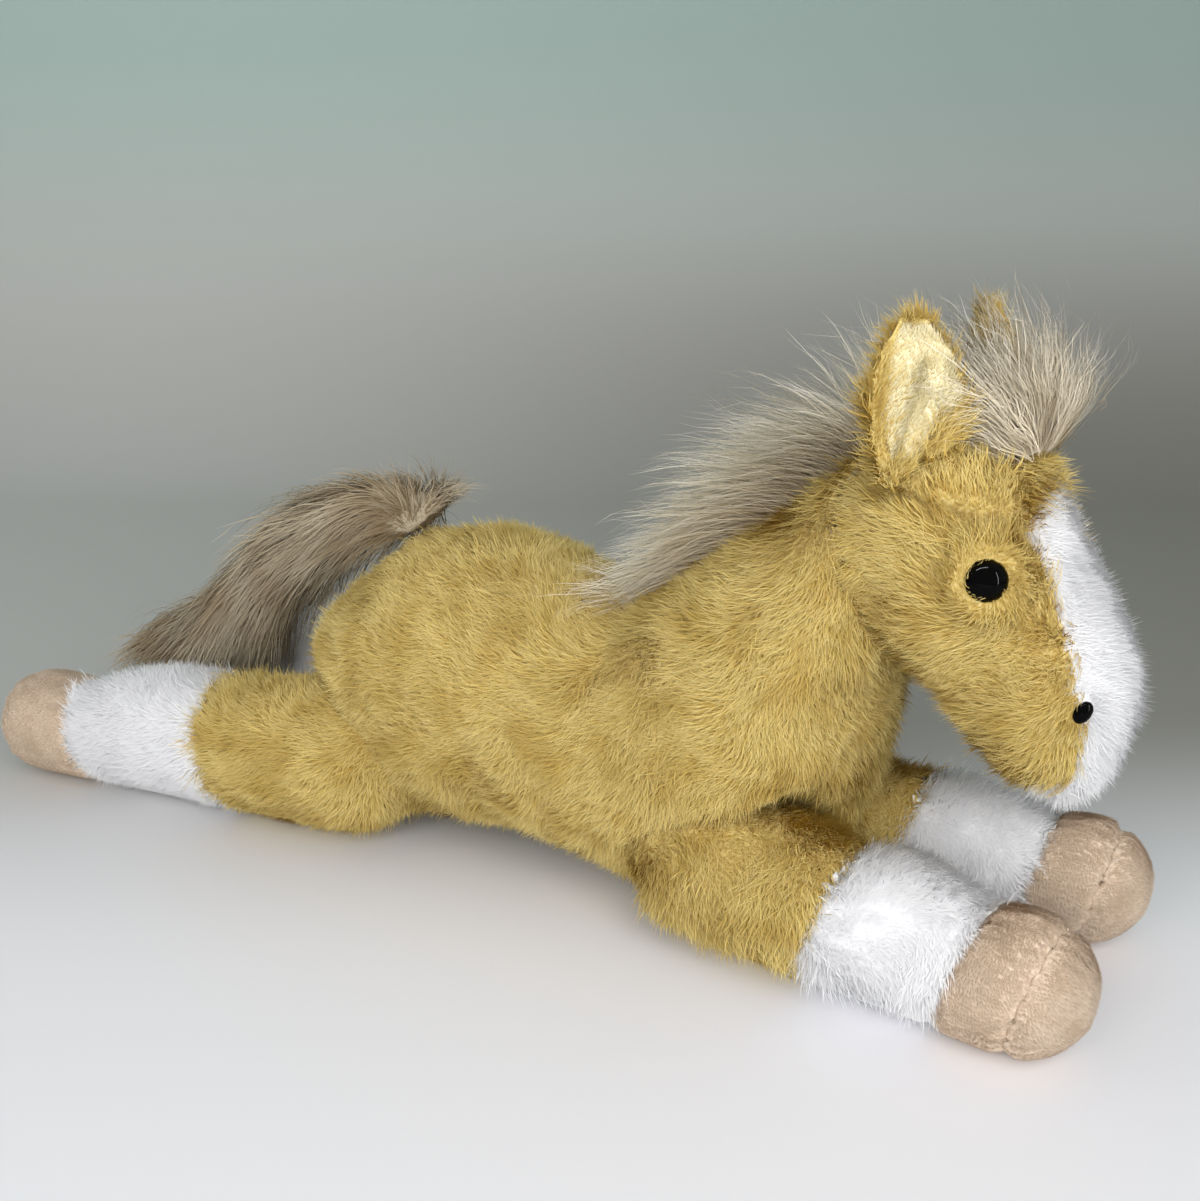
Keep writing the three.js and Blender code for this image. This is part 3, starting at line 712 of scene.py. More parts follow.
class PileTree:
    """The node tree that plants strands on a surface and lets them lie along its flow."""

    INPUTS = (
        ("Density", "NodeSocketFloat", 10.0),
        ("Length", "NodeSocketFloat", 10 * MM),
        ("Uneven", "NodeSocketFloat", 0.25),
        ("Swirl", "NodeSocketFloat", 1.2),
        ("Swirl Scale", "NodeSocketFloat", 40.0),
        ("Clump Scale", "NodeSocketFloat", 120.0),
        ("Clump", "NodeSocketFloat", 0.5),
        ("Wave", "NodeSocketFloat", 0.0),
        ("Droop", "NodeSocketFloat", 0.0),
        ("Softness", "NodeSocketFloat", 0.9),
        ("Seed", "NodeSocketInt", 1),
        ("Strand", "NodeSocketObject", None),
        ("Material", "NodeSocketMaterial", None),
    )
    EDDY_DETAIL = 1.5
    EDDY_TURN = 4.0
    TURN_SPREAD = 0.28
    LEAN_SPREAD = (-0.12, 0.25)
    PATCH_SCALE = 70.0
    PATCH_SPAN = (0.3, 0.7, 0.8, 1.12)
    WAVE_SCALE = 130.0
    WAVE_DETAIL = 1.0
    ABOVE_FLOOR = 0.2 * MM
    OWN_VALUES = ("pull", "reach", "up")

    def __init__(self) -> None:
        """Builds the tree."""
        self.tree = bpy.data.node_groups.new("pile", "GeometryNodeTree")
        face = self.tree.interface
        face.new_socket("Geometry", in_out="INPUT", socket_type="NodeSocketGeometry")
        self.identifiers = {}
        for name, kind, value in self.INPUTS:
            socket = face.new_socket(name, in_out="INPUT", socket_type=kind)
            if value is not None:
                socket.default_value = value
            self.identifiers[name] = socket.identifier
        face.new_socket("Geometry", in_out="OUTPUT", socket_type="NodeSocketGeometry")
        self.writer = NodeWriter(self.tree)
        self.inputs = self.writer.node("NodeGroupInput").outputs
        self._write()

    def _given(self, name: str) -> Wire:
        """Reads one of the tree's inputs."""
        return Wire(self.writer, self.inputs[name])

    def _named(self, name: str, kind: str = "FLOAT") -> Wire:
        """Reads an attribute."""
        settings = {"data_type": kind}
        return self.writer.wire("GeometryNodeInputNamedAttribute", settings, {"Name": name}, "Attribute")

    def _random(self, low: float, high: float, salt: Salt) -> Wire:
        """Gives each point a random number of its own.

        Args:
            low: The least that it can be.
            high: The most.
            salt: What keeps it apart from the tree's other random numbers.

        Returns:
            The number.
        """
        lowest, highest, output = self.writer.RANDOM_NUMBERS
        sockets = {lowest: low, highest: high, "Seed": self._given("Seed") + float(salt.value)}
        return self.writer.wire("FunctionNodeRandomValue", {"data_type": "FLOAT"}, sockets, output)

    def _stored(self, geometry: object, name: str, value: object, kind: str = "FLOAT") -> Wire:
        """Keeps a value on each instance.

        Args:
            geometry: The instances.
            name: The value's name.
            value: The value.
            kind: Its type.

        Returns:
            The instances with the value.
        """
        settings = {"data_type": kind, "domain": "INSTANCE"}
        sockets = {"Geometry": geometry, "Name": name, "Value": value}
        return self.writer.wire("GeometryNodeStoreNamedAttribute", settings, sockets)

    def _write(self) -> None:
        """Writes the nodes: planting, lying, growing, gathering, and the shading of the strands."""
        w, given = self.writer, self._given
        place = w.wire("GeometryNodeInputPosition")
        planted = w.node(
            "GeometryNodeDistributePointsOnFaces", {"distribute_method": "RANDOM"},
            {"Mesh": self.inputs["Geometry"], "Density": given("Density") * self._named("cover"),
             "Seed": self.inputs["Seed"]},
        )
        normal = Wire(w, planted.outputs["Normal"])
        rotation = self._rotation(place, normal)
        uneven = self._random(-1.0, 1.0, Salt.LENGTH) * given("Uneven") + 1.0
        patchy = w.noise(place, self.PATCH_SCALE).between(*self.PATCH_SPAN)
        length = given("Length") * self._named("pile") * uneven * patchy
        sockets = {"Object": self.inputs["Strand"], "As Instance": True}
        strand = w.node("GeometryNodeObjectInfo", None, sockets)
        grown = w.wire(
            "GeometryNodeInstanceOnPoints", None,
            {"Points": planted.outputs["Points"], "Instance": strand.outputs["Geometry"],
             "Rotation": rotation, "Scale": w.joined(length, length, length)},
        )
        cells = w.node("ShaderNodeTexVoronoi", None, {"Vector": place, "Scale": self.inputs["Clump Scale"]})
        pull = w.scaled(w.vector("SUBTRACT", cells.outputs["Position"], place), given("Clump"))
        grown = self._stored(grown, "pull", pull, "FLOAT_VECTOR")
        grown = self._stored(grown, "reach", length)
        grown = self._stored(grown, "up", normal, "FLOAT_VECTOR")
        grown = self._stored(grown, Attribute.TONE.value, self._random(0.0, 1.0, Salt.TONE))
        solid = w.wire("GeometryNodeRealizeInstances", None, {"Geometry": grown})
        moved = w.wire("GeometryNodeSetPosition", None, {"Geometry": solid, "Offset": self._offset(place)})
        axes = w.node("ShaderNodeSeparateXYZ", None, {0: place})
        lifted = Wire(w, axes.outputs[2]).at_least(self.ABOVE_FLOOR)
        above = w.joined(axes.outputs[0], axes.outputs[1], lifted)
        rested = w.wire("GeometryNodeSetPosition", None, {"Geometry": moved, "Position": above})
        smooth = w.wire("GeometryNodeSetShadeSmooth", None, {0: rested})
        own = w.wire("GeometryNodeInputNormal")
        soft = w.vector("NORMALIZE", w.turned(given("Softness"), own, self._named("up", "FLOAT_VECTOR")))
        facing = w.wire("GeometryNodeSetMeshNormal", {"mode": "FREE", "domain": "POINT"},
                        {"Mesh": smooth, "Custom Normal": soft})
        sockets = {"Geometry": facing, "Material": self.inputs["Material"]}
        w.node("NodeGroupOutput", None, {0: w.wire("GeometryNodeSetMaterial", None, sockets)})

    def _rotation(self, place: Wire, normal: Wire) -> Wire:
        """Turns strands upright and along the flow.

        Args:
            place: The place on the ground.
            normal: The ground's normal there.

        Returns:
            The rotation.
        """
        w = self.writer
        flow = self._named("flow", "FLOAT_VECTOR")
        rising = w.vector("DOT_PRODUCT", flow, normal, output="Value")
        flow = w.vector("SUBTRACT", flow, w.scaled(normal, rising))
        eddy = w.noise(place, self._given("Swirl Scale"), self.EDDY_DETAIL) - NOISE_MIDDLE
        turn = eddy * self._given("Swirl") * self.EDDY_TURN
        turn = turn + self._random(-self.TURN_SPREAD, self.TURN_SPREAD, Salt.TURN)
        flow = w.wire(
            "ShaderNodeVectorRotate", {"rotation_type": "AXIS_ANGLE"},
            {"Vector": flow, "Axis": normal, "Angle": turn},
        )
        standing = w.scaled(flow, self._named("lean") + self._random(*self.LEAN_SPREAD, Salt.LEAN))
        upright = w.vector("NORMALIZE", w.vector("ADD", normal, standing))
        return w.wire(
            "FunctionNodeAxesToRotation", {"primary_axis": "Z", "secondary_axis": "X"}, {0: upright, 1: flow}
        )

    def _offset(self, place: Wire) -> Wire:
        """Gathers strands in wisps, waves them and lets them hang, most at their tips.

        Args:
            place: The place on the strand.

        Returns:
            How far that place moves.
        """
        w = self.writer
        bent = self._named(Attribute.ALONG.value) ** 2
        reach = self._named("reach")
        gathered = w.scaled(self._named("pull", "FLOAT_VECTOR"), bent)
        waves = w.noise(place, self.WAVE_SCALE, self.WAVE_DETAIL, "Color")
        ripple = w.vector("SUBTRACT", waves, (NOISE_MIDDLE,) * 3)
        waved = w.scaled(ripple, bent * reach * self._given("Wave"))
        fall = w.joined(z=bent * reach * self._given("Droop") * -1.0)
        return w.vector("ADD", w.vector("ADD", gathered, waved), fall)

    def grow(self, ground: Surface, name: str, values: dict) -> bpy.types.Object:
        """Grows strands from a surface.

        Args:
            ground: The surface, with the fields flow, pile, cover and lean.
            name: The name of the piece.
            values: Values of the tree's inputs, by name.

        Returns:
            The strands, as one plain mesh.
        """
        carrier = ground.to_object(f"{name}_carrier")
        modifier = modify(carrier, "NODES", node_group=self.tree)
        for key, value in values.items():
            modifier[self.identifiers[key]] = value
        mesh = baked(carrier)
        for extra in self.OWN_VALUES:
            if extra in mesh.attributes:
                mesh.attributes.remove(mesh.attributes[extra])
        return new_object(name, mesh)


@dataclass(frozen=True)
class Pile:
    """How one fabric's pile stands: sizes in metres, strands counted on a square metre."""

    length: float
    density: float
    depth: float
    uneven: float = 0.25
    swirl: float = 1.0
    clump: float = 0.35
    clump_scale: float = 130.0
    lean: float = 0.0


PLUSH = Pile(
    length=7 * MM, density=328_000, depth=3.5 * MM, swirl=1.6, clump=0.55, clump_scale=270.0,
)
SHORT_PLUSH = Pile(
    length=5.8 * MM, density=370_000, depth=3.1 * MM, swirl=1.4, clump=0.5, clump_scale=300.0,
)
BLAZE_PLUSH = Pile(
    length=4.6 * MM, density=560_000, depth=2.7 * MM, swirl=1.2, clump=0.3, clump_scale=320.0, lean=-0.4,
)
EAR_PLUSH = Pile(length=6 * MM, density=420_000, depth=1.4 * MM, clump=0.2)
EAR_VELOUR = Pile(length=2.2 * MM, density=1_800_000, depth=0.6 * MM, uneven=0.45, clump=0.0)
VELOUR = Pile(length=2.1 * MM, density=2_200_000, depth=0.9 * MM, swirl=0.9, clump=0.0)

TUFT = Strand(
    "tuft", blades=4, segments=2, width=0.046, spread=0.46, rise=28, bend=82, seed=4, wander=0.42, straight=9,
)
FUZZ = Strand("fuzz", blades=3, segments=1, width=0.15, spread=0.3, rise=35, bend=80, seed=5, wander=0.25)


@dataclass(frozen=True)
class Cover:
    """One fabric piece: the CAD node that it stands for, its finish, its pile and the way the pile lies."""

    node: str
    finish: FurFinish
    pile: Pile
    flow: Field
    split: bool = False


@dataclass
class StuffedBody:
    """A body of the toy: its fabric pieces drawn over one stuffed form.

    Spans that end in fitting are distances from an eye or a nostril, in the radii that clear gives. The
    room's start is in millimetres.
    """

    body: str
    covers: list[Cover]
    inside: str = ""
    voxel: float = 4 * MM
    thickness: float = 0.8 * MM
    filling_gap: float = 1.3 * MM
    swelling: float = 1.5 * MM
    smoothing: int = 6
    even_opening: int = 3
    even_depth: int = 2
    seam_depth: float = 0.9 * MM
    seam_width: float = 2 * MM
    bare_width: float = 2.2 * MM
    bare_share: float = 0.65
    pucker: float = 0.0
    pucker_reach: float = 8 * MM
    puckers: int = 23
    pucker_drifts: int = 5
    pucker_shift: float = 2
    clear: list[tuple[str, float]] = field(default_factory=list)
    sunk_fitting: Span = (1.5, 2.3)
    bare_fitting: Span = (0.8, 0.95)
    short_fitting: Span = (0.95, 1.7)
    combed_fitting: Span = (1.0, 1.9)
    far_fitting: float = 10.0
    short_share: float = 0.35
    above_floor: float = 0.25 * MM
    low_slope: Span = (0.0, 0.5)
    low_height: Span = (3 * MM, 18 * MM)
    low_shorter: float = 0.6
    low_thinner: float = 0.35
    low_rise: float = 0.15
    pressed_span: Span = (0.0, 0.02)
    pressed_thinner: float = 0.5
    pressed_shorter: float = 0.2
    room: float = 16 * MM
    room_start: float = 0.1
    room_span: Span = (0.08, 0.85)
    floor_room: float = 5 * MM
    floor_slope: float = 0.05
    fewer_inside: float = 0.45
    fewer_outside: float = 0.4
    fill: float = 0.8

    def skin(self) -> Surface:
        """Makes the stuffed form's outer surface, as the CAD nodes give it.

        Returns:
            The surface.
        """
        joined = bmesh.new()
        for name in [cover.node for cover in self.covers] + [self.inside] * bool(self.inside):
            joined.from_mesh(frame["nodes"][name].data)
        bmesh.ops.remove_doubles(joined, verts=joined.verts, dist=WELD)
        mesh = bpy.data.meshes.new(f"{self.body}_form")
        joined.to_mesh(mesh)
        joined.free()
        form = new_object(mesh.name, mesh)
        modify(form, "REMESH", mode="VOXEL", voxel_size=self.voxel)
        form = new_object(mesh.name, largest_shell(baked(form)))
        swell(form, self.swelling)
        modify(form, "SMOOTH", factor=0.5, iterations=self.smoothing)
        modify(form, "SUBSURF", levels=1, render_levels=1)
        return Surface.of_mesh(baked(form))

    def dress(self, tree: PileTree, tuft: bpy.types.Object, fuzz: bpy.types.Object) -> None:
        """Cuts the form into its fabric pieces, and grows their pile.

        Args:
            tree: The node tree that grows pile.
            tuft: The strand of long pile.
            fuzz: The strand of velour.
        """
        skin, distances = self._divided(self.skin())
        owner = distances[skin.corners].mean(1).argmin(1)
        ordered = np.sort(distances, axis=1)
        seam = ordered[:, 1] - ordered[:, 0]
        self._sink(skin, distances.argmin(1), seam)
        if self.inside:
            self._fill(skin)
        skin.fields["seam"] = bell(seam, self.bare_width)
        for k, cover in enumerate(self.covers):
            patch = skin.part(owner == k)
            near_seam = patch.fields.pop("seam")
            if cover.pile is VELOUR:
                patch.fields["pile"] *= 1 - self.bare_share * near_seam
            self._piece(cover, patch, tree, fuzz if cover.pile in (VELOUR, EAR_VELOUR) else tuft)

    def _divided(self, skin: Surface) -> tuple[Surface, np.ndarray]:
        """Cuts the skin along the seams of the CAD.

        Args:
            skin: The stuffed form.

        Returns:
            The cut skin, and how far its points are from each cover.
        """
        count = len(self.covers)
        distances = np.stack([nearest(skin.points, [cover.node]) for cover in self.covers], 1)
        distances = distances + self.favoured(skin, distances)
        for k in range(count):
            skin.fields[f"to_{k}"] = distances[:, k]
        for k in range(count - 1):
            others = [skin.fields[f"to_{j}"] for j in range(count) if j != k]
            skin.fields["side"] = skin.fields[f"to_{k}"] - np.min(others, axis=0)
            skin = skin.cut("side")
        skin.fields.pop("side")
        return skin, np.stack([skin.fields.pop(f"to_{k}") for k in range(count)], 1)

    def _sink(self, skin: Surface, owner: np.ndarray, seam: np.ndarray) -> None:
        """Draws the skin in by the depth of its pile and at the seams, and says how the pile stands.

        Args:
            skin: The cut skin, which is changed.
            owner: The number of the cover that each point is on.
            seam: How far each point is from a seam.
        """
        normals = skin.normals()
        opening = skin.spread(self.openness(skin.points, normals), self.even_opening)
        depth = skin.spread(np.array([cover.pile.depth for cover in self.covers])[owner], self.even_depth)
        aside, height = (skin.points[:, axis] - skin.points[:, axis].mean() for axis in (1, 2))
        turn = np.arctan2(height, aside)
        drift = self.pucker_shift * np.sin(turn * self.pucker_drifts)
        waves = np.sin(turn * self.puckers + drift) * bell(seam, self.pucker_reach)
        groove = self.seam_depth * bell(seam, self.seam_width) + self.pucker * waves
        self.shaped(skin, normals, owner)
        apart = self.from_fittings(skin.points)
        sunk = depth * opening * ramped(apart, *self.sunk_fitting) + groove
        skin.points = skin.points - normals * sunk[:, None]
        skin.points[:, 2] = np.maximum(skin.points[:, 2], self.above_floor)
        low = (1 - ramped(normals[:, 2], *self.low_slope)) * (1 - ramped(skin.points[:, 2], *self.low_height))
        hidden = self.pressed_thinner * (1 - ramped(opening, *self.pressed_span)) + self.low_thinner * low
        pressed = 1 - self.pressed_shorter + self.pressed_shorter * opening
        near = 1 - self.short_share + self.short_share * ramped(apart, *self.short_fitting)
        skin.fields["cover"] = (1 - hidden) * ramped(apart, *self.bare_fitting)
        skin.fields["pile"] = pressed * (1 - low * self.low_shorter) * near * self.longer(skin.points)
        skin.fields["low"] = low

    def _fill(self, skin: Surface) -> None:
        """Fills the skin with stuffing.

        Args:
            skin: The sunk skin.
        """
        inner = Surface(skin.points - skin.normals() * (self.thickness + self.filling_gap), skin.corners)
        filling = inner.to_object(f"{self.inside}_filling")
        modify(filling, "DECIMATE", ratio=self.fewer_inside)
        filling = new_object(filling.name, baked(filling))
        filling.data.materials.append(material_of(FILLING, "ground"))
        fitted(filling, self.body, self.inside)

    def openness(self, points: np.ndarray, normals: np.ndarray) -> np.ndarray:
        """Tells how free points are of the other bodies and of the floor.

        Args:
            points: The points.
            normals: Their outward directions.

        Returns:
            From 0 where they touch to 1 where they are free.
        """
        others = [node for body in frame["bodies"] if body != self.body for node in body_nodes(body)]
        tree = tree_of(others)
        free = np.full(len(points), 1.0)
        for i, (point, normal) in enumerate(zip(points, normals)):
            gap = tree.ray_cast(Vector(point + normal * self.room_start * MM), Vector(normal), self.room)[3]
            if gap is not None:
                free[i] = gap / self.room
        slope = np.maximum(-normals[:, 2], self.floor_slope)
        down = np.where(normals[:, 2] < -self.floor_slope, points[:, 2] / slope, 1.0)
        return ramped(free, *self.room_span) * ramped(down, 0.0, self.floor_room)

    def shaped(self, skin: Surface, normals: np.ndarray, owner: np.ndarray) -> None:
        """Changes the cut skin before it sinks, where a body needs it."""

    def longer(self, points: np.ndarray) -> np.ndarray:
        """Tells how much longer or shorter the pile is left at points."""
        return np.ones(len(points))

    def favoured(self, skin: Surface, distances: np.ndarray) -> np.ndarray:
        """Moves the borders between the covers, where a body needs it."""
        return np.zeros_like(distances)

    def from_fittings(self, points: np.ndarray) -> np.ndarray:
        """Measures how far points are from what is set in the body.

        Args:
            points: The points.

        Returns:
            The distance to the nearest fitting, in its radii.
        """
        apart = np.full(len(points), self.far_fitting)
        for node, radius in self.clear:
            apart = np.minimum(apart, np.linalg.norm(points - middle_of(node), axis=1) / radius)
        return apart

    def combed(self, points: np.ndarray, flow: np.ndarray) -> np.ndarray:
        """Turns the pile away from what is set in the body.

        Args:
            points: The points.
            flow: The way that the pile lies there.

        Returns:
            The turned flow.
        """
        for node, radius in self.clear:
            away = points - middle_of(node)
            near = 1 - ramped(np.linalg.norm(away, axis=1) / radius, *self.combed_fitting)
            flow = unit(toward(flow, unit(away), near))
        return flow

    def _piece(self, cover: Cover, patch: Surface, tree: PileTree, strand: bpy.types.Object) -> None:
        """Makes one fabric piece and its pile.

        Args:
            cover: What the piece is.
            patch: Its part of the skin, with the fields cover, pile and low.
            tree: The node tree that grows pile.
            strand: The strand that is planted.
        """
        flow = self.combed(patch.points, unit(cover.flow(patch.points)))
        level = flow[:, 2] + patch.fields.pop("low") * (self.low_rise - flow[:, 2])
        flow[:, 2] = np.maximum(flow[:, 2], level)
        fabric = Surface(patch.points, patch.corners).to_object(f"{cover.node}_fabric")
        if cover.pile in (PLUSH, SHORT_PLUSH) and self.body != "head":
            modify(fabric, "DECIMATE", ratio=self.fewer_outside)
        modify(fabric, "SOLIDIFY", thickness=self.thickness, offset=-1)
        fabric.data.materials.append(material_of(cover.finish, "ground"))
        fitted(fabric, self.body, cover.node)
        patch.fields["flow"] = unit(flow)
        patch.fields["lean"] = np.full(len(patch.points), cover.pile.lean)
        if cover.pile is VELOUR:
            patch = patch.halved()
        halves = {"": patch}
        if cover.split:
            centre = patch.points[patch.corners].mean(1)[:, 1]
            halves = {"_right": patch.part(centre < 0), "_left": patch.part(centre >= 0)}
        for number, (suffix, half) in enumerate(halves.items()):
            pile = tree.grow(half, f"{cover.node}_pile{suffix}", {
                "Density": cover.pile.density, "Length": cover.pile.length, "Uneven": cover.pile.uneven,
                "Swirl": cover.pile.swirl, "Clump": cover.pile.clump, "Clump Scale": cover.pile.clump_scale,
                "Seed": number + 1, "Strand": strand, "Material": material_of(cover.finish, "strands"),
            })
            fitted(pile, self.body)


MATERIALS: dict[tuple[str, str], bpy.types.Material] = {}


def material_of(finish: FurFinish, part: str) -> bpy.types.Material:
    """Gives a material of a finish, made once.

    Args:
        finish: The finish.
        part: Its method: strands or ground.

    Returns:
        The material.
    """
    key = (finish.name, part)
    if key not in MATERIALS:
        MATERIALS[key] = getattr(finish, part)()
    return MATERIALS[key]


def middle_of(node: str) -> np.ndarray:
    """Gives the middle of a CAD node's box."""
    low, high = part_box(node)
    return (np.array(low) + np.array(high)) / 2


def body_nodes(body: str) -> list[str]:
    """Lists the CAD nodes of a body."""
    return frame["record"]["behaviour"]["bodies"][body]


def tree_of(nodes: list[str]) -> BVHTree:
    """Makes a search tree of CAD nodes.

    Args:
        nodes: Their names.

    Returns:
        The tree of all their triangles.
    """
    points, faces = [], []
    for name in nodes:
        surface = Surface.of_mesh(frame["nodes"][name].data)
        faces += (surface.corners + len(points)).tolist()
        points += surface.points.tolist()
    return BVHTree.FromPolygons(points, faces)


def nearest(points: np.ndarray, nodes: list[str]) -> np.ndarray:
    """Measures how far each point is from the surface of CAD nodes."""
    tree = tree_of(nodes)
    return np.array([tree.find_nearest(Vector(p))[3] for p in points])


def largest_shell(mesh: bpy.types.Mesh) -> bpy.types.Mesh:
    """Keeps the largest of a mesh's separate shells.

    Args:
        mesh: The mesh, which is changed.

    Returns:
        The same mesh.
    """
    work = bmesh.new()
    work.from_mesh(mesh)
    seen, shells = set(), []
    for start in work.verts:
        if start in seen:
            continue
        shell, todo = [], [start]
        seen.add(start)
        while todo:
            vert = todo.pop()
            shell.append(vert)
            for edge in vert.link_edges:
                other = edge.other_vert(vert)
                if other not in seen:
                    seen.add(other)
                    todo.append(other)
        shells.append(shell)
    keep = max(shells, key=len)
    loose = [vert for shell in shells if shell is not keep for vert in shell]
    bmesh.ops.delete(work, geom=loose, context="VERTS")
    work.to_mesh(mesh)
    work.free()
    return mesh


def swell(form: bpy.types.Object, cap: float, pressure: float = 4, frames: int = 20) -> None:
    """Fills a form with pressure as cloth, and keeps the result in its mesh.

    Args:
        form: A closed object, which is changed.
        cap: How far a point may move.
        pressure: The force of the filling.
        frames: Steps of the simulation.
    """
    rest = np.empty(len(form.data.vertices) * 3)
    form.data.vertices.foreach_get("co", rest)
    cloth = modify(form, "CLOTH")
    cloth.settings.use_pressure = True
    cloth.settings.uniform_pressure_force = pressure
    cloth.settings.effector_weights.gravity = 0
    scene = bpy.context.scene
    for step in range(1, frames + 1):
        scene.frame_set(step)
    graph = bpy.context.evaluated_depsgraph_get()
    moved = np.empty_like(rest)
    form.evaluated_get(graph).data.vertices.foreach_get("co", moved)
    form.modifiers.remove(cloth)
    scene.frame_set(1)
    shift = (moved - rest).reshape(-1, 3)
    size = np.linalg.norm(shift, axis=1, keepdims=True)
    shift *= np.minimum(1, cap / np.maximum(size, TINY))
    form.data.vertices.foreach_set("co", (rest.reshape(-1, 3) + shift).ravel())
    form.data.update()


def mirrored(points: np.ndarray, x: float, y: float, z: float) -> np.ndarray:
    """Gives all points one direction, whose y leads away from the middle of the toy."""
    side = np.sign(points[:, 1])
    return np.stack([np.full_like(side, x), y * side, np.full_like(side, z)], 1)


def steady(x: float, y: float, z: float) -> Field:
    """Lets pile lie one way all over."""
    return lambda points: np.tile(unit(np.array([x, y, z])), (len(points), 1))


@dataclass(frozen=True)
class TrunkFlow:
    """How pile lies on the trunk. Spans are in millimetres."""

    neck: Span = (40, 90)
    elbow_length: Span = (60, 95)
    elbow_height: Span = (25, 60)
    back: tuple[float, float, float] = (-1.0, 0.1, -0.45)
    down: tuple[float, float, float] = (-0.25, 0.2, -1.0)
    ahead: tuple[float, float, float] = (0.8, 0.1, -0.5)

    def __call__(self, points: np.ndarray) -> np.ndarray:
        """Lets pile lie back over the barrel, down the neck and forward at the elbows.

        Args:
            points: The points.

        Returns:
            The flow at each.
        """
        x, _, z = points.T / MM
        low, high = self.elbow_height
        elbow = ramped(-z, -high, -low) * ramped(x, *self.elbow_length)
        mixed = toward(mirrored(points, *self.back), mirrored(points, *self.down), ramped(x, *self.neck))
        return unit(toward(mixed, mirrored(points, *self.ahead), elbow))


BROW_HEIGHT = 147
BROW_FRONT = 190
BROW_SLOPE = 0.23


def over_brow(points: np.ndarray) -> np.ndarray:
    """Measures how far points are above the line of stitches over the eye, in millimetres."""
    return points[:, 2] / MM - BROW_HEIGHT - (BROW_FRONT - points[:, 0] / MM) * BROW_SLOPE


@dataclass(frozen=True)
class Forehead:
    """The place of the forehead's full tuft, in millimetres."""

    length: Span = (178, 190)
    height: Span = (152, 160)
    far_side: Span = (2, 8)
    near_side: Span = (14, 24)

    def share(self, points: np.ndarray) -> np.ndarray:
        """Tells how near points are to the tuft, from 0 to 1."""
        x, y, z = (points / MM).T
        place = ramped(x, *self.length) * ramped(z, *self.height)
        return place * (1 - ramped(y, *self.far_side)) * (1 - ramped(-y, *self.near_side))


@dataclass(frozen=True)
class HeadFlow:
    """How pile lies on the head."""

    forehead: Forehead = Forehead()
    brow: Span = (-1.5, 1.5)
    border: Span = (5 * MM, 12 * MM)
    crown: Span = (148 * MM, 156 * MM)
    crown_side: Span = (3, 7)
    back: tuple[float, float, float] = (-1.0, 0.15, -0.3)
    rise: tuple[float, float, float] = (0.1, 0.3, 1.0)
    away: tuple[float, float, float] = (-1.0, 0.7, -0.2)
    ahead: tuple[float, float, float] = (1.0, 0.2, -0.35)

    def __call__(self, points: np.ndarray) -> np.ndarray:
        """Lets pile lie back over the cheeks, up over the brow, away from the blaze and over the forehead.

        Args:
            points: The points.

        Returns:
            The flow at each.
        """
        side = points[:, 1] / MM
        brow = ramped(over_brow(points), *self.brow)
        border = 1 - ramped(nearest(points, ["blaze_panel"]), *self.border)
        border *= 1 - ramped(points[:, 2], *self.crown) * (1 - ramped(side, *self.crown_side))
        mixed = unit(toward(mirrored(points, *self.back), mirrored(points, *self.rise), brow))
        mixed = unit(toward(mixed, mirrored(points, *self.away), border))
        return unit(toward(mixed, mirrored(points, *self.ahead), self.forehead.share(points)))


@dataclass(frozen=True)
class BlazeFlow:
    """How pile lies on the blaze panel."""

    forward: float = 0.4
    inward: float = 14
    downward: float = -0.8

    def __call__(self, points: np.ndarray) -> np.ndarray:
        """Lets pile lie down the face and in to its middle.

        Args:
            points: The points.

        Returns:
            The flow at each.
        """
        y = points[:, 1] / MM
        ahead, down = np.full_like(y, self.forward), np.full_like(y, self.downward)
        return unit(np.stack([ahead, -y / self.inward, down], 1))


@dataclass
class Head(StuffedBody):
    """The head, drawn in along the stitches over each eye."""

    forehead: Forehead = Forehead()
    brow_depth: float = 5.5 * MM
    brow_width: float = 3.0
    brow_side: Span = (12 * MM, 18 * MM)
    brow_length: Span = (140 * MM, 155 * MM)
    border: Span = (5 * MM, 12 * MM)
    border_start: Span = (3 * MM, 4 * MM)
    border_height: Span = (60, 100)
    brow_shorter: float = 0.7
    forehead_longer: float = 0.6
    border_shorter: float = 0.3

    def brow(self, points: np.ndarray) -> np.ndarray:
        """Finds the stitches over the eyes.

        Args:
            points: The points.

        Returns:
            How near each is to them, from 0 to 1.
        """
        side = ramped(np.abs(points[:, 1]), *self.brow_side)
        line = bell(over_brow(points), self.brow_width) * side
        return line * ramped(points[:, 0], *self.brow_length)

    def shaped(self, skin: Surface, normals: np.ndarray, owner: np.ndarray) -> None:
        """Draws the skin in over the eyes."""
        skin.points = skin.points - normals * (self.brow(skin.points) * self.brow_depth)[:, None]

    def longer(self, points: np.ndarray) -> np.ndarray:
        """Leaves the pile short along the stitches and the blaze, and long on the forehead.

        Args:
            points: The points.

        Returns:
            The factor on the pile's length.
        """
        forehead = self.forehead.share(points)
        gap = nearest(points, ["blaze_panel"])
        border = (1 - ramped(gap, *self.border)) * ramped(gap, *self.border_start) * (1 - forehead)
        length = 1 - self.brow_shorter * self.brow(points) + self.forehead_longer * forehead
        return length - self.border_shorter * border * ramped(points[:, 2] / MM, *self.border_height)


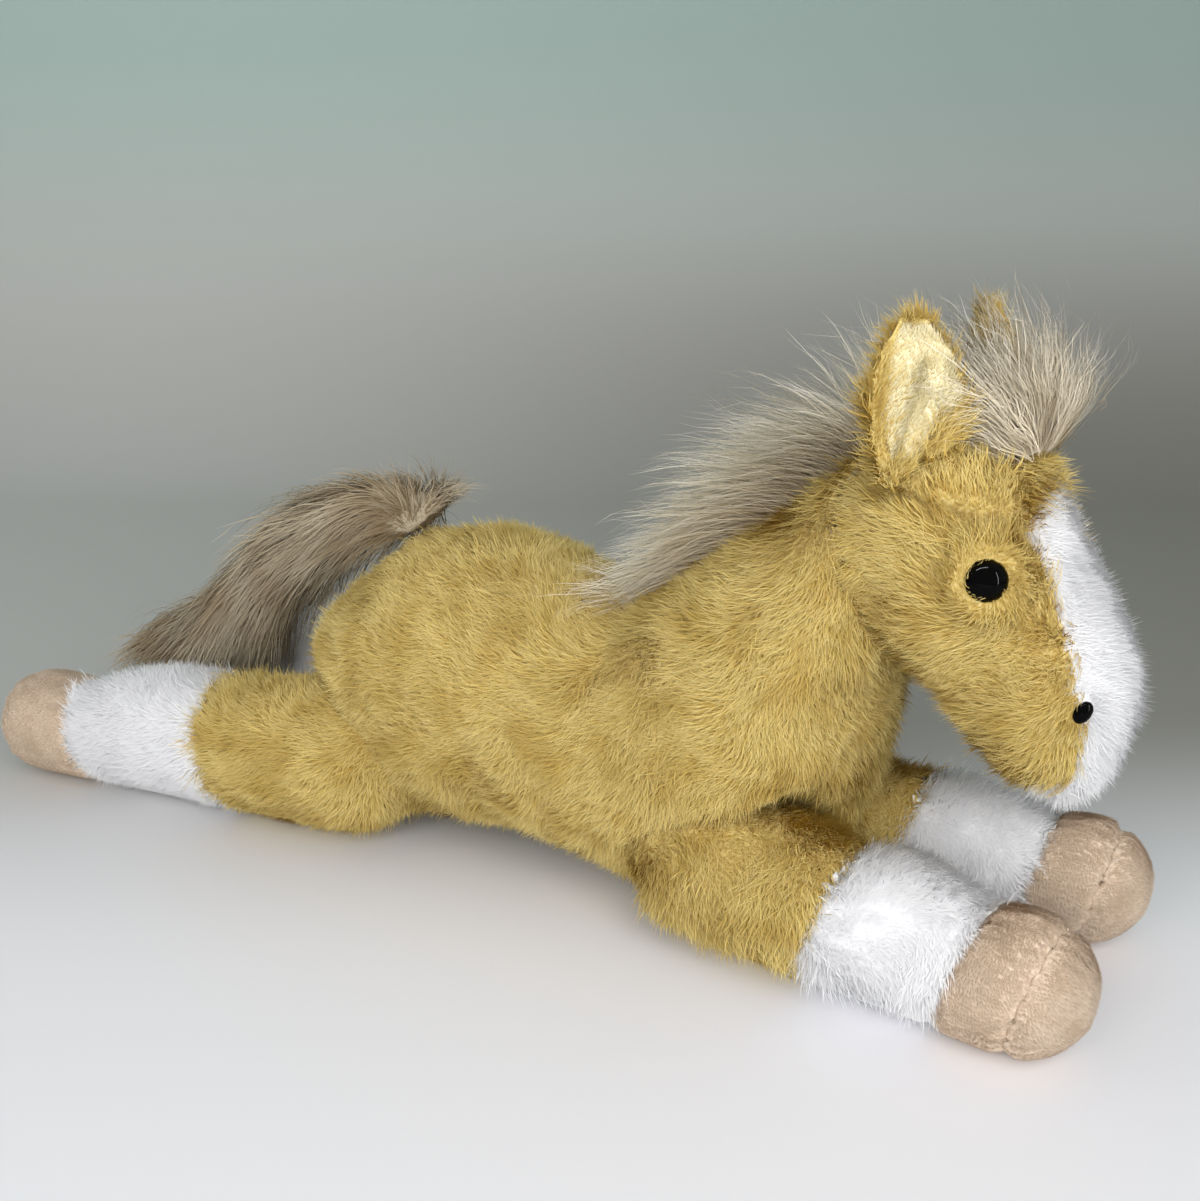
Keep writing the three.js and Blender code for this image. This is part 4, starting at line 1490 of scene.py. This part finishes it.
@dataclass
class Ear(StuffedBody):
    """An ear, whose lining is folded in along its middle. Spans on its height are shares of it."""

    fold_depth: float = 3.2 * MM
    fold_width: float = 1.1 * MM
    fold_place: float = -0.5 * MM
    fold_tilt: float = 7.5 * MM
    fold_middle: float = 0.45
    fold_foot: Span = (-0.15, 0.05)
    fold_top: Span = (0.62, 0.85)
    fold_facing: Span = (0.1, 0.6)
    lobe: float = 1.2 * MM
    lobe_place: float = 4 * MM
    lobe_width: float = 2.5 * MM
    rim: float = 2.5 * MM
    rim_facing: Span = (0.1, 0.4)
    front_edge: Span = (1 * MM, 4 * MM)
    back_edge: Span = (2 * MM, 5 * MM)
    back_share: float = 0.35
    tip: Span = (0.7, 0.95)
    back_tip: Span = (0.7, 0.9)
    foot: Span = (0.1, 0.2)
    curl: float = 12 * MM
    curl_edge: Span = (-1 * MM, 1 * MM)
    curl_top: Span = (0.4, 0.6)
    golden_reach: float = 3
    foot_longer: float = 1.3
    tip_shorter: float = 0.35
    pile_heights: Span = (0.1, 0.8)

    def measured(self, skin: Surface, lining: np.ndarray) -> tuple[np.ndarray, np.ndarray, np.ndarray]:
        """Measures the ear from its lining.

        Args:
            skin: The ear's surface.
            lining: Which of its points are on the lining.

        Returns:
            How far each point is towards the front edge, its share of the height, and how much it faces out.
        """
        middle = skin.points[lining].mean(0)
        normals = skin.normals()
        face = unit(normals[lining].mean(0))
        across = unit(np.cross(UP, face)) * -np.sign(face[1])
        height = (skin.points - middle) @ np.cross(face, across) * -np.sign(face[1])
        low, high = height[lining].min(), height[lining].max()
        return (skin.points - middle) @ across, (height - low) / (high - low), normals @ face

    def favoured(self, skin: Surface, distances: np.ndarray) -> np.ndarray:
        """Takes the lining out to the front edge and the tip, and lets golden pile cover its foot.

        Args:
            skin: The ear's surface.
            distances: How far its points are from each cover.

        Returns:
            What is added to the distances.
        """
        aside, share, facing = self.measured(skin, distances[:, 1] < distances[:, 0])
        front = ramped(facing, *self.rim_facing)
        reach = self.rim * (ramped(aside, *self.front_edge) + ramped(share, *self.tip)) * front
        back = self.rim * ramped(-aside, *self.back_edge) * (1 - ramped(share, *self.back_tip))
        golden = self.golden_reach * self.rim
        foot = golden * (1 - ramped(share, *self.foot))
        curl = golden * ramped(aside - share * self.curl, *self.curl_edge)
        curl = curl * (1 - ramped(share, *self.curl_top))
        return np.stack([np.zeros(len(aside)), back * self.back_share + foot + curl - reach], 1)

    def longer(self, points: np.ndarray) -> np.ndarray:
        """Leaves the pile longest at the foot of the ear."""
        low, high = (np.quantile(points[:, 2], share) for share in self.pile_heights)
        return self.foot_longer - self.tip_shorter * ramped(points[:, 2], low, high)

    def shaped(self, skin: Surface, normals: np.ndarray, owner: np.ndarray) -> None:
        """Presses the fold into the lining, and raises a lobe on each side of it.

        Args:
            skin: The ear's surface, which is changed.
            normals: Its outward directions.
            owner: The number of the cover that each point is on.
        """
        lining = owner == 1
        aside, share, facing = self.measured(skin, lining)
        aside = aside - self.fold_place - (share - self.fold_middle) * self.fold_tilt
        face = unit(normals[lining].mean(0))
        front = ramped(facing, *self.fold_facing) * ramped(share, *self.fold_foot)
        front = front * (1 - ramped(share, *self.fold_top))
        fold = bell(aside, self.fold_width) * self.fold_depth
        lobes = bell(np.abs(aside) - self.lobe_place, self.lobe_width) * self.lobe
        skin.points = skin.points + face * ((lobes - fold) * front)[:, None]


@dataclass
class Leg(StuffedBody):
    """A leg with its hoof, whose sole panel is drawn up round the hoof's front."""

    sole_reach: float = 0.0

    def favoured(self, skin: Surface, distances: np.ndarray) -> np.ndarray:
        """Draws the sole panel, the last of the covers, up round the hoof.

        Args:
            skin: The leg's surface.
            distances: How far its points are from each cover.

        Returns:
            What is added to the distances.
        """
        offsets = np.zeros_like(distances)
        offsets[:, -1] = -self.sole_reach
        return offsets


def trunk() -> StuffedBody:
    """Gives the trunk with its two covers."""
    return StuffedBody("trunk", [
        Cover("barrel_cover", GOLD, PLUSH, TrunkFlow(), split=True),
        Cover("chest_neck_cover", GOLD, PLUSH, TrunkFlow(), split=True),
    ], "trunk_stuffing", voxel=5 * MM)


def head() -> StuffedBody:
    """Makes the head with its cover and its blaze panel.

    Returns:
        The head.
    """
    fittings = (("eye", 6.3 * MM), ("nostril", 2.6 * MM))
    clear = [(f"{name}_{side}", radius) for name, radius in fittings for side in SIDES]
    return Head("head", [
        Cover("head_cover", GOLD, PLUSH, HeadFlow(), split=True),
        Cover("blaze_panel", WHITE, BLAZE_PLUSH, BlazeFlow()),
    ], "head_stuffing", voxel=3.5 * MM, clear=clear)


def legs() -> list[StuffedBody]:
    """Lists the four legs.

    Returns:
        The fore legs, then the hind legs.
    """
    made = []
    pairs = (("foreleg", steady(1, 0, -0.55), 8 * MM), ("hindleg", steady(-1, 0, -0.25), 0.0))
    for pair, flow, reach in pairs:
        for name in (f"{pair}_{side}" for side in SIDES):
            made.append(Leg(name, [
                Cover(f"{name}_cover", GOLD, PLUSH, flow),
                Cover(f"{name}_sock", WHITE, SHORT_PLUSH, flow),
                Cover(f"{name}_hoof", HOOF, VELOUR, flow),
                Cover(f"{name}_sole", HOOF, VELOUR, flow),
            ], f"{name}_stuffing", seam_depth=1.6 * MM, pucker=0.28 * MM, sole_reach=reach))
    return made


def ears() -> list[StuffedBody]:
    """Lists the two ears."""
    flow = steady(-0.3, 0, 1)
    return [
        Ear(f"ear_{side}", [
            Cover(f"ear_{side}", GOLD, EAR_PLUSH, flow), Cover(f"ear_lining_{side}", EAR, EAR_VELOUR, flow),
        ], voxel=1.2 * MM, thickness=0.5 * MM) for side in SIDES
    ]


def rounded(name: str, node: str, voxel: float, rounds: int) -> bpy.types.Mesh:
    """Remeshes a CAD node's form and rounds it off.

    Args:
        name: The form's name.
        node: The CAD node.
        voxel: The size of the new faces.
        rounds: How many times over it is smoothed.

    Returns:
        The rounded mesh.
    """
    form = new_object(name, frame["nodes"][node].data.copy())
    modify(form, "REMESH", mode="VOXEL", voxel_size=voxel)
    modify(form, "SMOOTH", iterations=rounds)
    return baked(form)


@dataclass(frozen=True)
class Eye:
    """A domed button on a ridged shank, turned round its own axis."""

    side: str
    steps: int = 64
    rim: float = 0.7 * MM
    rim_share: float = 0.9
    ridge: float = 0.25 * MM
    ridge_step: float = 0.5 * MM
    ridge_start: float = 0.4 * MM
    shank_radius: float = 1.9 * MM
    button_depth: float = 5.5 * MM
    aims: int = 3
    dome_step: int = 5

    def build(self, gloss: bpy.types.Material) -> None:
        """Turns the eye where its CAD node sits.

        Args:
            gloss: The material.
        """
        node = f"eye_{self.side}"
        points = Surface.of_mesh(frame["nodes"][node].data).points
        washer = Surface.of_mesh(frame["nodes"][f"eye_washer_{self.side}"].data).points
        root = (washer.min(0) + washer.max(0)) / 2
        axis = unit((points.min(0) + points.max(0)) / 2 - root)
        for _ in range(self.aims):
            high = (points - root) @ axis
            button = points[high > high.max() - self.button_depth]
            axis = unit(button.mean(0) - root)
        high = (points - root) @ axis
        out = np.linalg.norm(points - root - high[:, None] * axis, axis=1)
        profile = self._profile(out.max(), high.min(), high[out.argmax()], high.max())
        side = unit(np.cross(axis, UP))
        rise = np.cross(side, axis)
        turns = np.linspace(0, 2 * math.pi, self.steps + 1)
        round_axis = [side * math.cos(a) + rise * math.sin(a) for a in turns]
        rows = np.array([[root + axis * t + way * r for way in round_axis] for r, t in profile])
        piece = closed(sheet(rows)).to_object(f"{node}_button")
        piece.data.materials.append(gloss)
        fitted(piece, "head", node)

    def _profile(self, radius: float, foot: float, base: float, top: float) -> list[tuple[float, float]]:
        """Draws half of the eye's outline.

        Args:
            radius: The button's radius.
            foot: The height of the shank's end, along the axis.
            base: The height at which the button is widest.
            top: The height of the dome.

        Returns:
            Distances from the axis, with their heights.
        """
        profile = [(0.0, foot), (self.shank_radius, foot)]
        for k, along in enumerate(np.arange(foot + self.ridge_start, base - self.rim, self.ridge_step)):
            profile.append((self.shank_radius + (k % 2) * self.ridge, along))
        under = base - self.rim
        profile += [(self.shank_radius, under), (radius * self.rim_share, under), (radius, base)]
        for angle in np.radians(np.arange(self.dome_step, QUARTER_TURN, self.dome_step)):
            profile.append((radius * math.cos(angle), base + (top - base) * math.sin(angle)))
        return profile + [(0.0, top)]


@dataclass(frozen=True)
class Nostril:
    """A small moulded bead, rounded off."""

    side: str
    grain: float = 0.3 * MM
    rounds: int = 8

    def build(self, gloss: bpy.types.Material) -> None:
        """Rounds the CAD bead.

        Args:
            gloss: The material.
        """
        node = f"nostril_{self.side}"
        mesh = rounded(f"{node}_form", node, self.grain, self.rounds)
        mesh.materials.clear()
        mesh.materials.append(gloss)
        mesh.shade_smooth()
        fitted(new_object(f"{node}_bead", mesh), "head", node)


def sheet(rows: np.ndarray) -> Surface:
    """Makes a surface of a grid of points.

    Args:
        rows: The points, by row and column.

    Returns:
        Two triangles for each cell.
    """
    high, wide = rows.shape[:2]
    index = np.arange(high * wide).reshape(high, wide)
    a, b, c, d = index[:-1, :-1], index[:-1, 1:], index[1:, 1:], index[1:, :-1]
    corners = np.concatenate([np.stack([a, b, c], -1).reshape(-1, 3), np.stack([a, c, d], -1).reshape(-1, 3)])
    return Surface(rows.reshape(-1, 3), corners)


def closed(surface: Surface) -> Surface:
    """Joins points that share a place, drops flat triangles and turns the faces outwards.

    Args:
        surface: The surface of a solid, whose ends meet.

    Returns:
        The closed surface.
    """
    work = bmesh.new()
    verts = [work.verts.new(p) for p in surface.points]
    for corner in surface.corners:
        work.faces.new([verts[i] for i in corner])
    bmesh.ops.remove_doubles(work, verts=work.verts, dist=FINE_WELD)
    bmesh.ops.dissolve_degenerate(work, edges=work.edges, dist=FINE_WELD)
    bmesh.ops.recalc_face_normals(work, faces=work.faces)
    mesh = bpy.data.meshes.new("joined")
    work.to_mesh(mesh)
    work.free()
    made = Surface.of_mesh(mesh)
    bpy.data.meshes.remove(mesh)
    return made


@dataclass(frozen=True)
class Locks:
    """One layer of long hair: a strand and how thickly it stands."""

    strand: Strand
    density: float
    length: float
    uneven: float = 0.2
    wave: float = 0.15
    clump: float = 0.35


@dataclass(frozen=True)
class LongHair:
    """A piece of long hair: roots on a ground of its own, with layers of locks."""

    node: str = ""
    body: str = ""
    finish: FurFinish = HAIR
    layers: tuple[Locks, ...] = ()
    swirl: float = 0.25
    swirl_scale: float = 40.0
    droop: float = 0.0
    clump_scale: float = 90.0
    softness: float = 0.85
    first_seed: int = 5

    def ground(self) -> Surface:
        """Gives the ground that the roots stand on."""
        raise NotImplementedError

    def grow(self, tree: PileTree) -> None:
        """Grows the hair and lets it stand for its CAD node.

        Args:
            tree: The node tree that grows pile.
        """
        ground = self.ground()
        base = Surface(ground.points, ground.corners).to_object(f"{self.node}_backing")
        base.data.materials.append(material_of(self.finish, "ground"))
        fitted(base, self.body, self.node)
        for number, layer in enumerate(self.layers):
            strand = layer.strand.make()
            piece = tree.grow(ground, f"{self.node}_{layer.strand.name}", {
                "Density": layer.density, "Length": layer.length, "Uneven": layer.uneven,
                "Swirl": self.swirl, "Swirl Scale": self.swirl_scale, "Droop": self.droop,
                "Clump": layer.clump, "Clump Scale": self.clump_scale, "Wave": layer.wave,
                "Seed": self.first_seed + number, "Strand": strand, "Softness": self.softness,
                "Material": material_of(self.finish, "strands"),
            })
            bpy.data.objects.remove(strand)
            fitted(piece, self.body)


@dataclass(frozen=True)
class Mane(LongHair):
    """The strip of long hair from the withers over the poll. The strip's sizes are in millimetres."""

    node: str = "mane"
    body: str = "trunk"
    layers: tuple[Locks, ...] = (
        Locks(Strand("locks", blades=13, segments=6, width=0.009, spread=0.12, rise=32, bend=72, seed=6),
              260_000, 36 * MM),
        Locks(Strand("strays", blades=2, segments=7, width=0.006, spread=0.2, rise=15, bend=60, seed=7,
                     wander=0.35), 60_000, 44 * MM, uneven=0.35, wave=0.4, clump=0.0),
    )
    crest: tuple[Span, ...] = ((58, 0.0), (75, 0.2), (92, 0.4), (110, 0.6), (126, 0.8), (141, 1.0))
    half_width: float = 8.0
    arch: float = 2.0
    inset: float = 2.5
    above: float = 400
    columns: int = 30
    rows: int = 9
    flow: tuple[float, float, float] = (-0.83, 0.05, -0.55)
    foot_length: float = 0.75
    crest_longer: float = 0.45
    longer_span: Span = (0.1, 0.7)
    foot_lean: float = 0.5
    crest_upright: float = 0.9

    def ground(self) -> Surface:
        """Arches a strip along the crest of the neck.

        Returns:
            The strip with its fields.
        """
        tree = tree_of(["chest_neck_cover", "barrel_cover"])
        length, share = np.array(self.crest).T
        x = np.interp(np.linspace(0, 1, self.columns), share, length)
        y = np.linspace(-self.half_width, self.half_width, self.rows)
        rows = np.empty((len(x), len(y), 3))
        for i, along in enumerate(x):
            for j, across in enumerate(y):
                hit = tree.ray_cast(Vector((along, across, self.above)) * MM, -Vector(UP))[0]
                arch = (1 - (across / self.half_width) ** 2) * self.arch - self.inset
                rows[i, j] = (along, across, hit.z / MM + arch)
        made = sheet(rows[::-1] * MM)
        place = np.interp(made.points[:, 0] / MM, length, share)
        back, aside, down = self.flow
        flow = (np.full_like(place, back), made.points[:, 1] / MM * aside, np.full_like(place, down))
        made.fields["flow"] = unit(np.stack(flow, 1))
        made.fields["pile"] = self.foot_length + self.crest_longer * ramped(place, *self.longer_span)
        made.fields["cover"] = np.ones_like(place)
        made.fields["lean"] = self.foot_lean - self.crest_upright * place
        return made


@dataclass(frozen=True)
class Forelock(LongHair):
    """The tuft on the crown, whose hair fans out from the brow. The dome's sizes are in millimetres."""

    node: str = "forelock"
    body: str = "head"
    layers: tuple[Locks, ...] = (
        Locks(Strand("locks", blades=15, segments=6, width=0.0075, spread=0.1, rise=4, bend=30, seed=8,
                     wander=0.25), 1_500_000, 40 * MM, uneven=0.3, wave=0.5, clump=0.3),
        Locks(Strand("strays", blades=2, segments=7, width=0.006, spread=0.1, rise=2, bend=40, seed=9,
                     wander=0.6), 520_000, 46 * MM, uneven=0.35, wave=0.5, clump=0.0),
    )
    swirl: float = 0.9
    swirl_scale: float = 150.0
    centre: tuple[float, float, float] = (186.0, 0.0, 163.0)
    radii: tuple[float, float, float] = (5, 9, 5)
    tilt: float = math.radians(-30)
    polar: Span = (1, 76)
    rings: int = 12
    spokes: int = 25
    flow: tuple[float, float, float] = (-1.0, 0.05, 0.4)
    front_length: float = 0.78
    back_longer: float = 0.5
    longer_span: Span = (-3.5, 4)

    def ground(self) -> Surface:
        """Makes a small dome on the brow.

        Returns:
            The dome with its fields.
        """
        cosine, sine = math.cos(self.tilt), math.sin(self.tilt)
        rows = np.empty((self.rings, self.spokes, 3))
        for i, polar in enumerate(np.radians(np.linspace(*self.polar, self.rings))):
            for j, turn in enumerate(np.linspace(0, 2 * math.pi, self.spokes)):
                ball = (math.sin(polar) * math.cos(turn), math.sin(polar) * math.sin(turn), math.cos(polar))
                x, y, z = (share * radius for share, radius in zip(ball, self.radii))
                rows[i, j] = np.array(self.centre) + (x * cosine + z * sine, y, -x * sine + z * cosine)
        made = sheet(rows[::-1] * MM)
        away = made.points / MM - self.centre
        ahead, aside, up = (np.full(len(away), part) for part in self.flow)
        made.fields["flow"] = unit(np.stack([ahead, away[:, 1] * aside, up], 1))
        made.fields["pile"] = self.front_length + self.back_longer * ramped(-away[:, 0], *self.longer_span)
        made.fields["cover"] = np.ones(len(away))
        return made


@dataclass(frozen=True)
class Tail(LongHair):
    """The plume of long hair that arches from the rump. Places along it are in millimetres."""

    node: str = "tail"
    body: str = "tail"
    # The tail takes the darker, painted-shade copy of the long hair.
    finish: FurFinish = SHADED_TAIL_HAIR
    layers: tuple[Locks, ...] = (
        Locks(Strand("locks", blades=8, segments=6, width=0.011, spread=0.1, rise=58, bend=86, seed=10,
                     wander=0.14), 85_000, 36 * MM, wave=0.2),
        Locks(Strand("strays", blades=2, segments=7, width=0.006, spread=0.1, rise=45, bend=80, seed=11,
                     wander=0.25), 25_000, 40 * MM, uneven=0.35, wave=0.25, clump=0.0),
    )
    droop: float = 0.35
    line: tuple[Span, ...] = (
        (-24, 120), (-36, 121), (-63, 120), (-93, 111), (-115, 94), (-140, 71), (-172, 50), (-211, 34),
    )
    voxel: float = 2.5 * MM
    rounds: int = 12
    core: float = 0.55
    blend: float = 22
    root_length: float = 0.6
    plume_longer: float = 0.5
    plume: Span = (30, 90)
    end_shorter: float = 0.3
    end: Span = (165, 205)
    root: Span = (30, 54)
    root_facing: Span = (-0.8, -0.2)
    root_turn: float = math.radians(125)
    root_lead: Span = (0.0, 0.25)
    root_thicker: float = 1.5
    root_upright: float = 0.6
    root_back: tuple[float, float, float] = (0.5, 0.0, 0.85)

    def ground(self) -> Surface:
        """Makes the core of the plume.

        Returns:
            The core with its fields.
        """
        made = Surface.of_mesh(rounded("tail_form", self.node, self.voxel, self.rounds))
        spots = self.nearest_on_line(made.points)
        made.points = spots + (made.points - spots) * self.core
        line = np.array(self.line)
        middles = (line[1:] + line[:-1]) / 2
        steps = unit(line[1:] - line[:-1])
        gaps = np.linalg.norm(made.points[:, None, [0, 2]] / MM - middles[None], axis=2)
        weight = bell(gaps, self.blend)
        flow = (weight[:, :, None] * steps[None]).sum(1) / weight.sum(1, keepdims=True)
        level = np.zeros(len(flow))
        flow = unit(np.stack([flow[:, 0], level, flow[:, 1]], 1))
        back = -(made.points[:, 0] / MM)
        normals = made.normals()
        root = (1 - ramped(back, *self.root)) * ramped(normals[:, 2], *self.root_facing)
        turn = math.pi - root * self.root_turn
        fanned = np.stack([np.cos(turn), level, np.sin(turn)], 1)
        made.fields["flow"] = unit(toward(flow, fanned, ramped(root, *self.root_lead)))
        length = self.root_length + self.plume_longer * ramped(back, *self.plume)
        made.fields["pile"] = length - self.end_shorter * ramped(back, *self.end)
        made.fields["cover"] = 1 + self.root_thicker * root
        made.fields["lean"] = -self.root_upright * root * np.maximum(normals @ np.array(self.root_back), 0)
        return made

    def nearest_on_line(self, points: np.ndarray) -> np.ndarray:
        """Finds the point of the tail's middle line that is nearest to each point.

        Args:
            points: The points.

        Returns:
            Their nearest points on the line.
        """
        line = np.array([(x, 0, z) for x, z in self.line]) * MM
        best, spots = np.full(len(points), np.inf), np.zeros_like(points)
        for start, end in zip(line[:-1], line[1:]):
            share = np.clip((points - start) @ (end - start) / ((end - start) @ (end - start)), 0, 1)
            spot = start + share[:, None] * (end - start)
            gap = np.linalg.norm(points - spot, axis=1)
            spots[gap < best] = spot[gap < best]
            best = np.minimum(best, gap)
        return spots


@dataclass(frozen=True)
class Lamp:
    """A square soft lamp: where it hangs, its width in metres and its power in watts."""

    name: str
    place: tuple[float, float, float]
    size: float
    power: float


@dataclass(frozen=True)
class Gleam:
    """A narrow lamp that draws a thin line on the eye: where the camera sees it, right and up of the eye."""

    name: str
    toward: Span
    power: float
    length: float = 0.7
    width: float = 0.02
    angle: float = 62.0
    distance: float = 0.8


@dataclass(frozen=True)
class Studio:
    """The floor, the lamps and the camera. The sweep's profile runs away from the camera."""

    position: tuple[float, float, float] = (0.2799, -0.3712, 0.2246)
    azimuth: float = 32.8
    pitch: float = 15.9
    focal_pixels: float = 1305
    frame_pixels: float = 1200
    sensor: float = 36.0
    clip_start: float = 0.01
    eye: tuple[float, float, float] = (0.1837, -0.0292, 0.134)
    aim: tuple[float, float, float] = (0.02, 0, 0.06)
    lamps: tuple[Lamp, ...] = (
        Lamp("key", (0.75, -0.65, 0.65), 0.7, 5.7),
        Lamp("front", (0.35, -1.2, 0.5), 0.8, 7.6),
    )
    gleams: tuple[Gleam, ...] = (Gleam("gleam_top", (-0.3, 1.0), 6.0), Gleam("gleam_right", (1.0, 0.25), 4.0))
    ambient: Colour = (0.41, 0.41, 0.415, 1.0)
    floor: tuple[float, ...] = (-3.0, -1.0, 0.0)
    half_width: float = 9.0
    bend_start: float = 0.62
    bend_radius: float = 0.42
    bend_step: int = 4
    wall: tuple[float, ...] = (1.2, 3.2)
    floor_colour: Colour = linear(247, 247, 251)
    # Painted shade: the sheet is greyed at the turn and on the wall, where less light reaches it.
    shaded_turn_colour: Colour = linear(203, 203, 199)
    shaded_wall_colour: Colour = linear(212, 214, 209)
    top_colour: Colour = linear(192, 214, 207)
    # Painted shade, laid low on the right of the sheet.
    painted_dim_colour: Colour = linear(238, 238, 238)
    # Painted shade that darkens the far part of the sheet towards the right.
    painted_shade_colour: Colour = linear(186, 183, 178)
    white: Colour = (1.0, 1.0, 1.0, 1.0)
    painted_shade_span: Span = (-0.5, 0.5)
    turn_span: Span = (-0.11, 0.13)
    wall_span: Span = (0.0, 0.3)
    top_span: Span = (0.12, 0.45)
    painted_dim_across: Span = (-0.6, 0.6)
    painted_dim_height: Span = (0.0, 0.2)
    roughness: float = 0.6
    specular: float = 0.2

    def build(self) -> None:
        """Sets up the whole studio."""
        bpy.context.scene.view_settings.view_transform = "Standard"
        self._camera()
        self._sweep()
        self._world()
        for lamp in self.lamps:
            self._lamp(lamp)
        for gleam in self.gleams:
            self._gleam(gleam)

    def _camera(self) -> None:
        """Sets the camera where the photograph was taken."""
        data = bpy.data.cameras.new("camera")
        data.sensor_fit = "HORIZONTAL"
        data.sensor_width = self.sensor
        data.lens = self.focal_pixels / self.frame_pixels * self.sensor
        data.clip_start = self.clip_start
        made = new_object("camera", data)
        made.location = self.position
        made.rotation_euler = (math.radians(QUARTER_TURN - self.pitch), 0, math.radians(self.azimuth))
        bpy.context.scene.camera = made

    def _sweep(self) -> None:
        """Lays a pale sheet that runs under the toy and curves up behind it."""
        turn = math.radians(self.azimuth)
        ahead = np.array([-math.sin(turn), math.cos(turn), 0])
        aside = np.array([math.cos(turn), math.sin(turn), 0])
        profile = [(u, 0.0) for u in (*self.floor, self.bend_start)]
        for angle in np.radians(np.arange(self.bend_step, QUARTER_TURN + 1, self.bend_step)):
            rise = self.bend_radius * (1 - math.cos(angle))
            profile.append((self.bend_start + self.bend_radius * math.sin(angle), rise))
        profile += [(self.bend_start + self.bend_radius, height) for height in self.wall]
        sides = (-self.half_width, self.half_width)
        rows = np.array([
            [ahead * u + aside * side + np.array([0, 0, v]) for side in sides] for u, v in profile
        ])
        floor = sheet(rows[::-1]).to_object("sweep")
        floor.data.materials.append(self._paper(tuple(ahead), tuple(aside)))

    def _paper(self, ahead: tuple, aside: tuple) -> bpy.types.Material:
        """Makes the sheet's material: pale in front, greyed by painted shade at the turn and on the wall,
        darkened by painted shade to the right and low on the right, and greener above.

        Args:
            ahead: The way that the camera looks, level.
            aside: The way to the camera's right.

        Returns:
            The material.
        """
        material, writer, shader = new_material(
            "sweep", Roughness=self.roughness, Specular_IOR_Level=self.specular,
        )
        place = writer.place()
        depth = writer.vector("DOT_PRODUCT", place, ahead, output="Value")
        across = writer.vector("DOT_PRODUCT", place, aside, output="Value")
        height = Wire(writer, writer.node("ShaderNodeSeparateXYZ", None, {0: place}).outputs[2])
        # Painted shade: the far part darkens towards the right.
        far = writer.mixed(across.between(*self.painted_shade_span), self.white, self.painted_shade_colour)
        # Painted shade: the far part and the wall take grey colours that stand for the light falling off
        # behind the toy.
        far = writer.mixed(1.0, far, self.shaded_turn_colour, "MULTIPLY")
        colour = writer.mixed(depth.between(*self.turn_span), self.floor_colour, far)
        colour = writer.mixed(height.between(*self.wall_span), colour, self.shaded_wall_colour)
        colour = writer.mixed(height.between(*self.top_span), colour, self.top_colour)
        # Painted shade: low on the right, the sheet is darkened further.
        painted_dim = across.between(*self.painted_dim_across) * height.between(*self.painted_dim_height)
        colour = writer.mixed(painted_dim, colour, writer.mixed(1.0, colour, self.painted_dim_colour, "MULTIPLY"))
        writer.feed(shader.inputs["Base Color"], colour)
        return material

    def _world(self) -> None:
        """Lights from all round, and shows a grey backdrop."""
        world = bpy.data.worlds.new("studio")
        world.use_nodes = True
        bpy.context.scene.world = world
        writer = NodeWriter(world.node_tree)
        paths = writer.node("ShaderNodeLightPath")
        seen = Wire(writer, paths.outputs["Is Camera Ray"])
        for ray in ("Is Glossy Ray", "Is Transmission Ray"):
            seen = seen.at_least(Wire(writer, paths.outputs[ray]))
        colour = writer.mixed(seen, self.ambient, self.shaded_wall_colour)
        writer.feed(world.node_tree.nodes["Background"].inputs["Color"], colour)

    def _lamp(self, lamp: Lamp) -> None:
        """Hangs a soft lamp that looks at the toy.

        Args:
            lamp: The lamp.
        """
        data = bpy.data.lights.new(lamp.name, "AREA")
        data.size = lamp.size
        data.energy = lamp.power
        made = new_object(lamp.name, data)
        made.location = lamp.place
        aim = Vector(self.aim) - Vector(lamp.place)
        made.rotation_euler = aim.to_track_quat("-Z", "Y").to_euler()
        made.visible_glossy = False

    def _gleam(self, gleam: Gleam) -> None:
        """Hangs a narrow lamp that faces the eye and lights nothing but its gloss.

        Args:
            gleam: The lamp.
        """
        eye = Vector(self.eye)
        view = (Vector(self.position) - eye).normalized()
        right = Vector(UP).cross(view).normalized()
        up = view.cross(right)
        edge = (right * gleam.toward[0] + up * gleam.toward[1]).normalized()
        angle = math.radians(gleam.angle)
        place = eye + (view * math.cos(angle) + edge * math.sin(angle)) * gleam.distance
        data = bpy.data.lights.new(gleam.name, "AREA")
        data.shape = "RECTANGLE"
        data.size = gleam.length
        data.size_y = gleam.width
        data.energy = gleam.power
        made = new_object(gleam.name, data)
        inward = (place - eye).normalized()
        along = view.cross(edge).normalized()
        across = inward.cross(along)
        made.matrix_world = Matrix((along, across, inward)).transposed().to_4x4()
        made.location = place
        made.visible_diffuse = False


def main() -> None:
    """Builds the studio, then each body of the toy."""
    logging.basicConfig(level=logging.INFO, format="%(message)s")
    Studio().build()
    tree = PileTree()
    tuft, fuzz = TUFT.make(), FUZZ.make()
    for body in (trunk(), head(), *legs(), *ears()):
        body.dress(tree, tuft, fuzz)
    gloss = GLOSS.make()
    for side in SIDES:
        Eye(side).build(gloss)
        Nostril(side).build(gloss)
    for hair in (Mane(), Forelock(), Tail()):
        hair.grow(tree)
    for strand in (tuft, fuzz):
        bpy.data.objects.remove(strand)


if __name__ == "__main__":
    main()
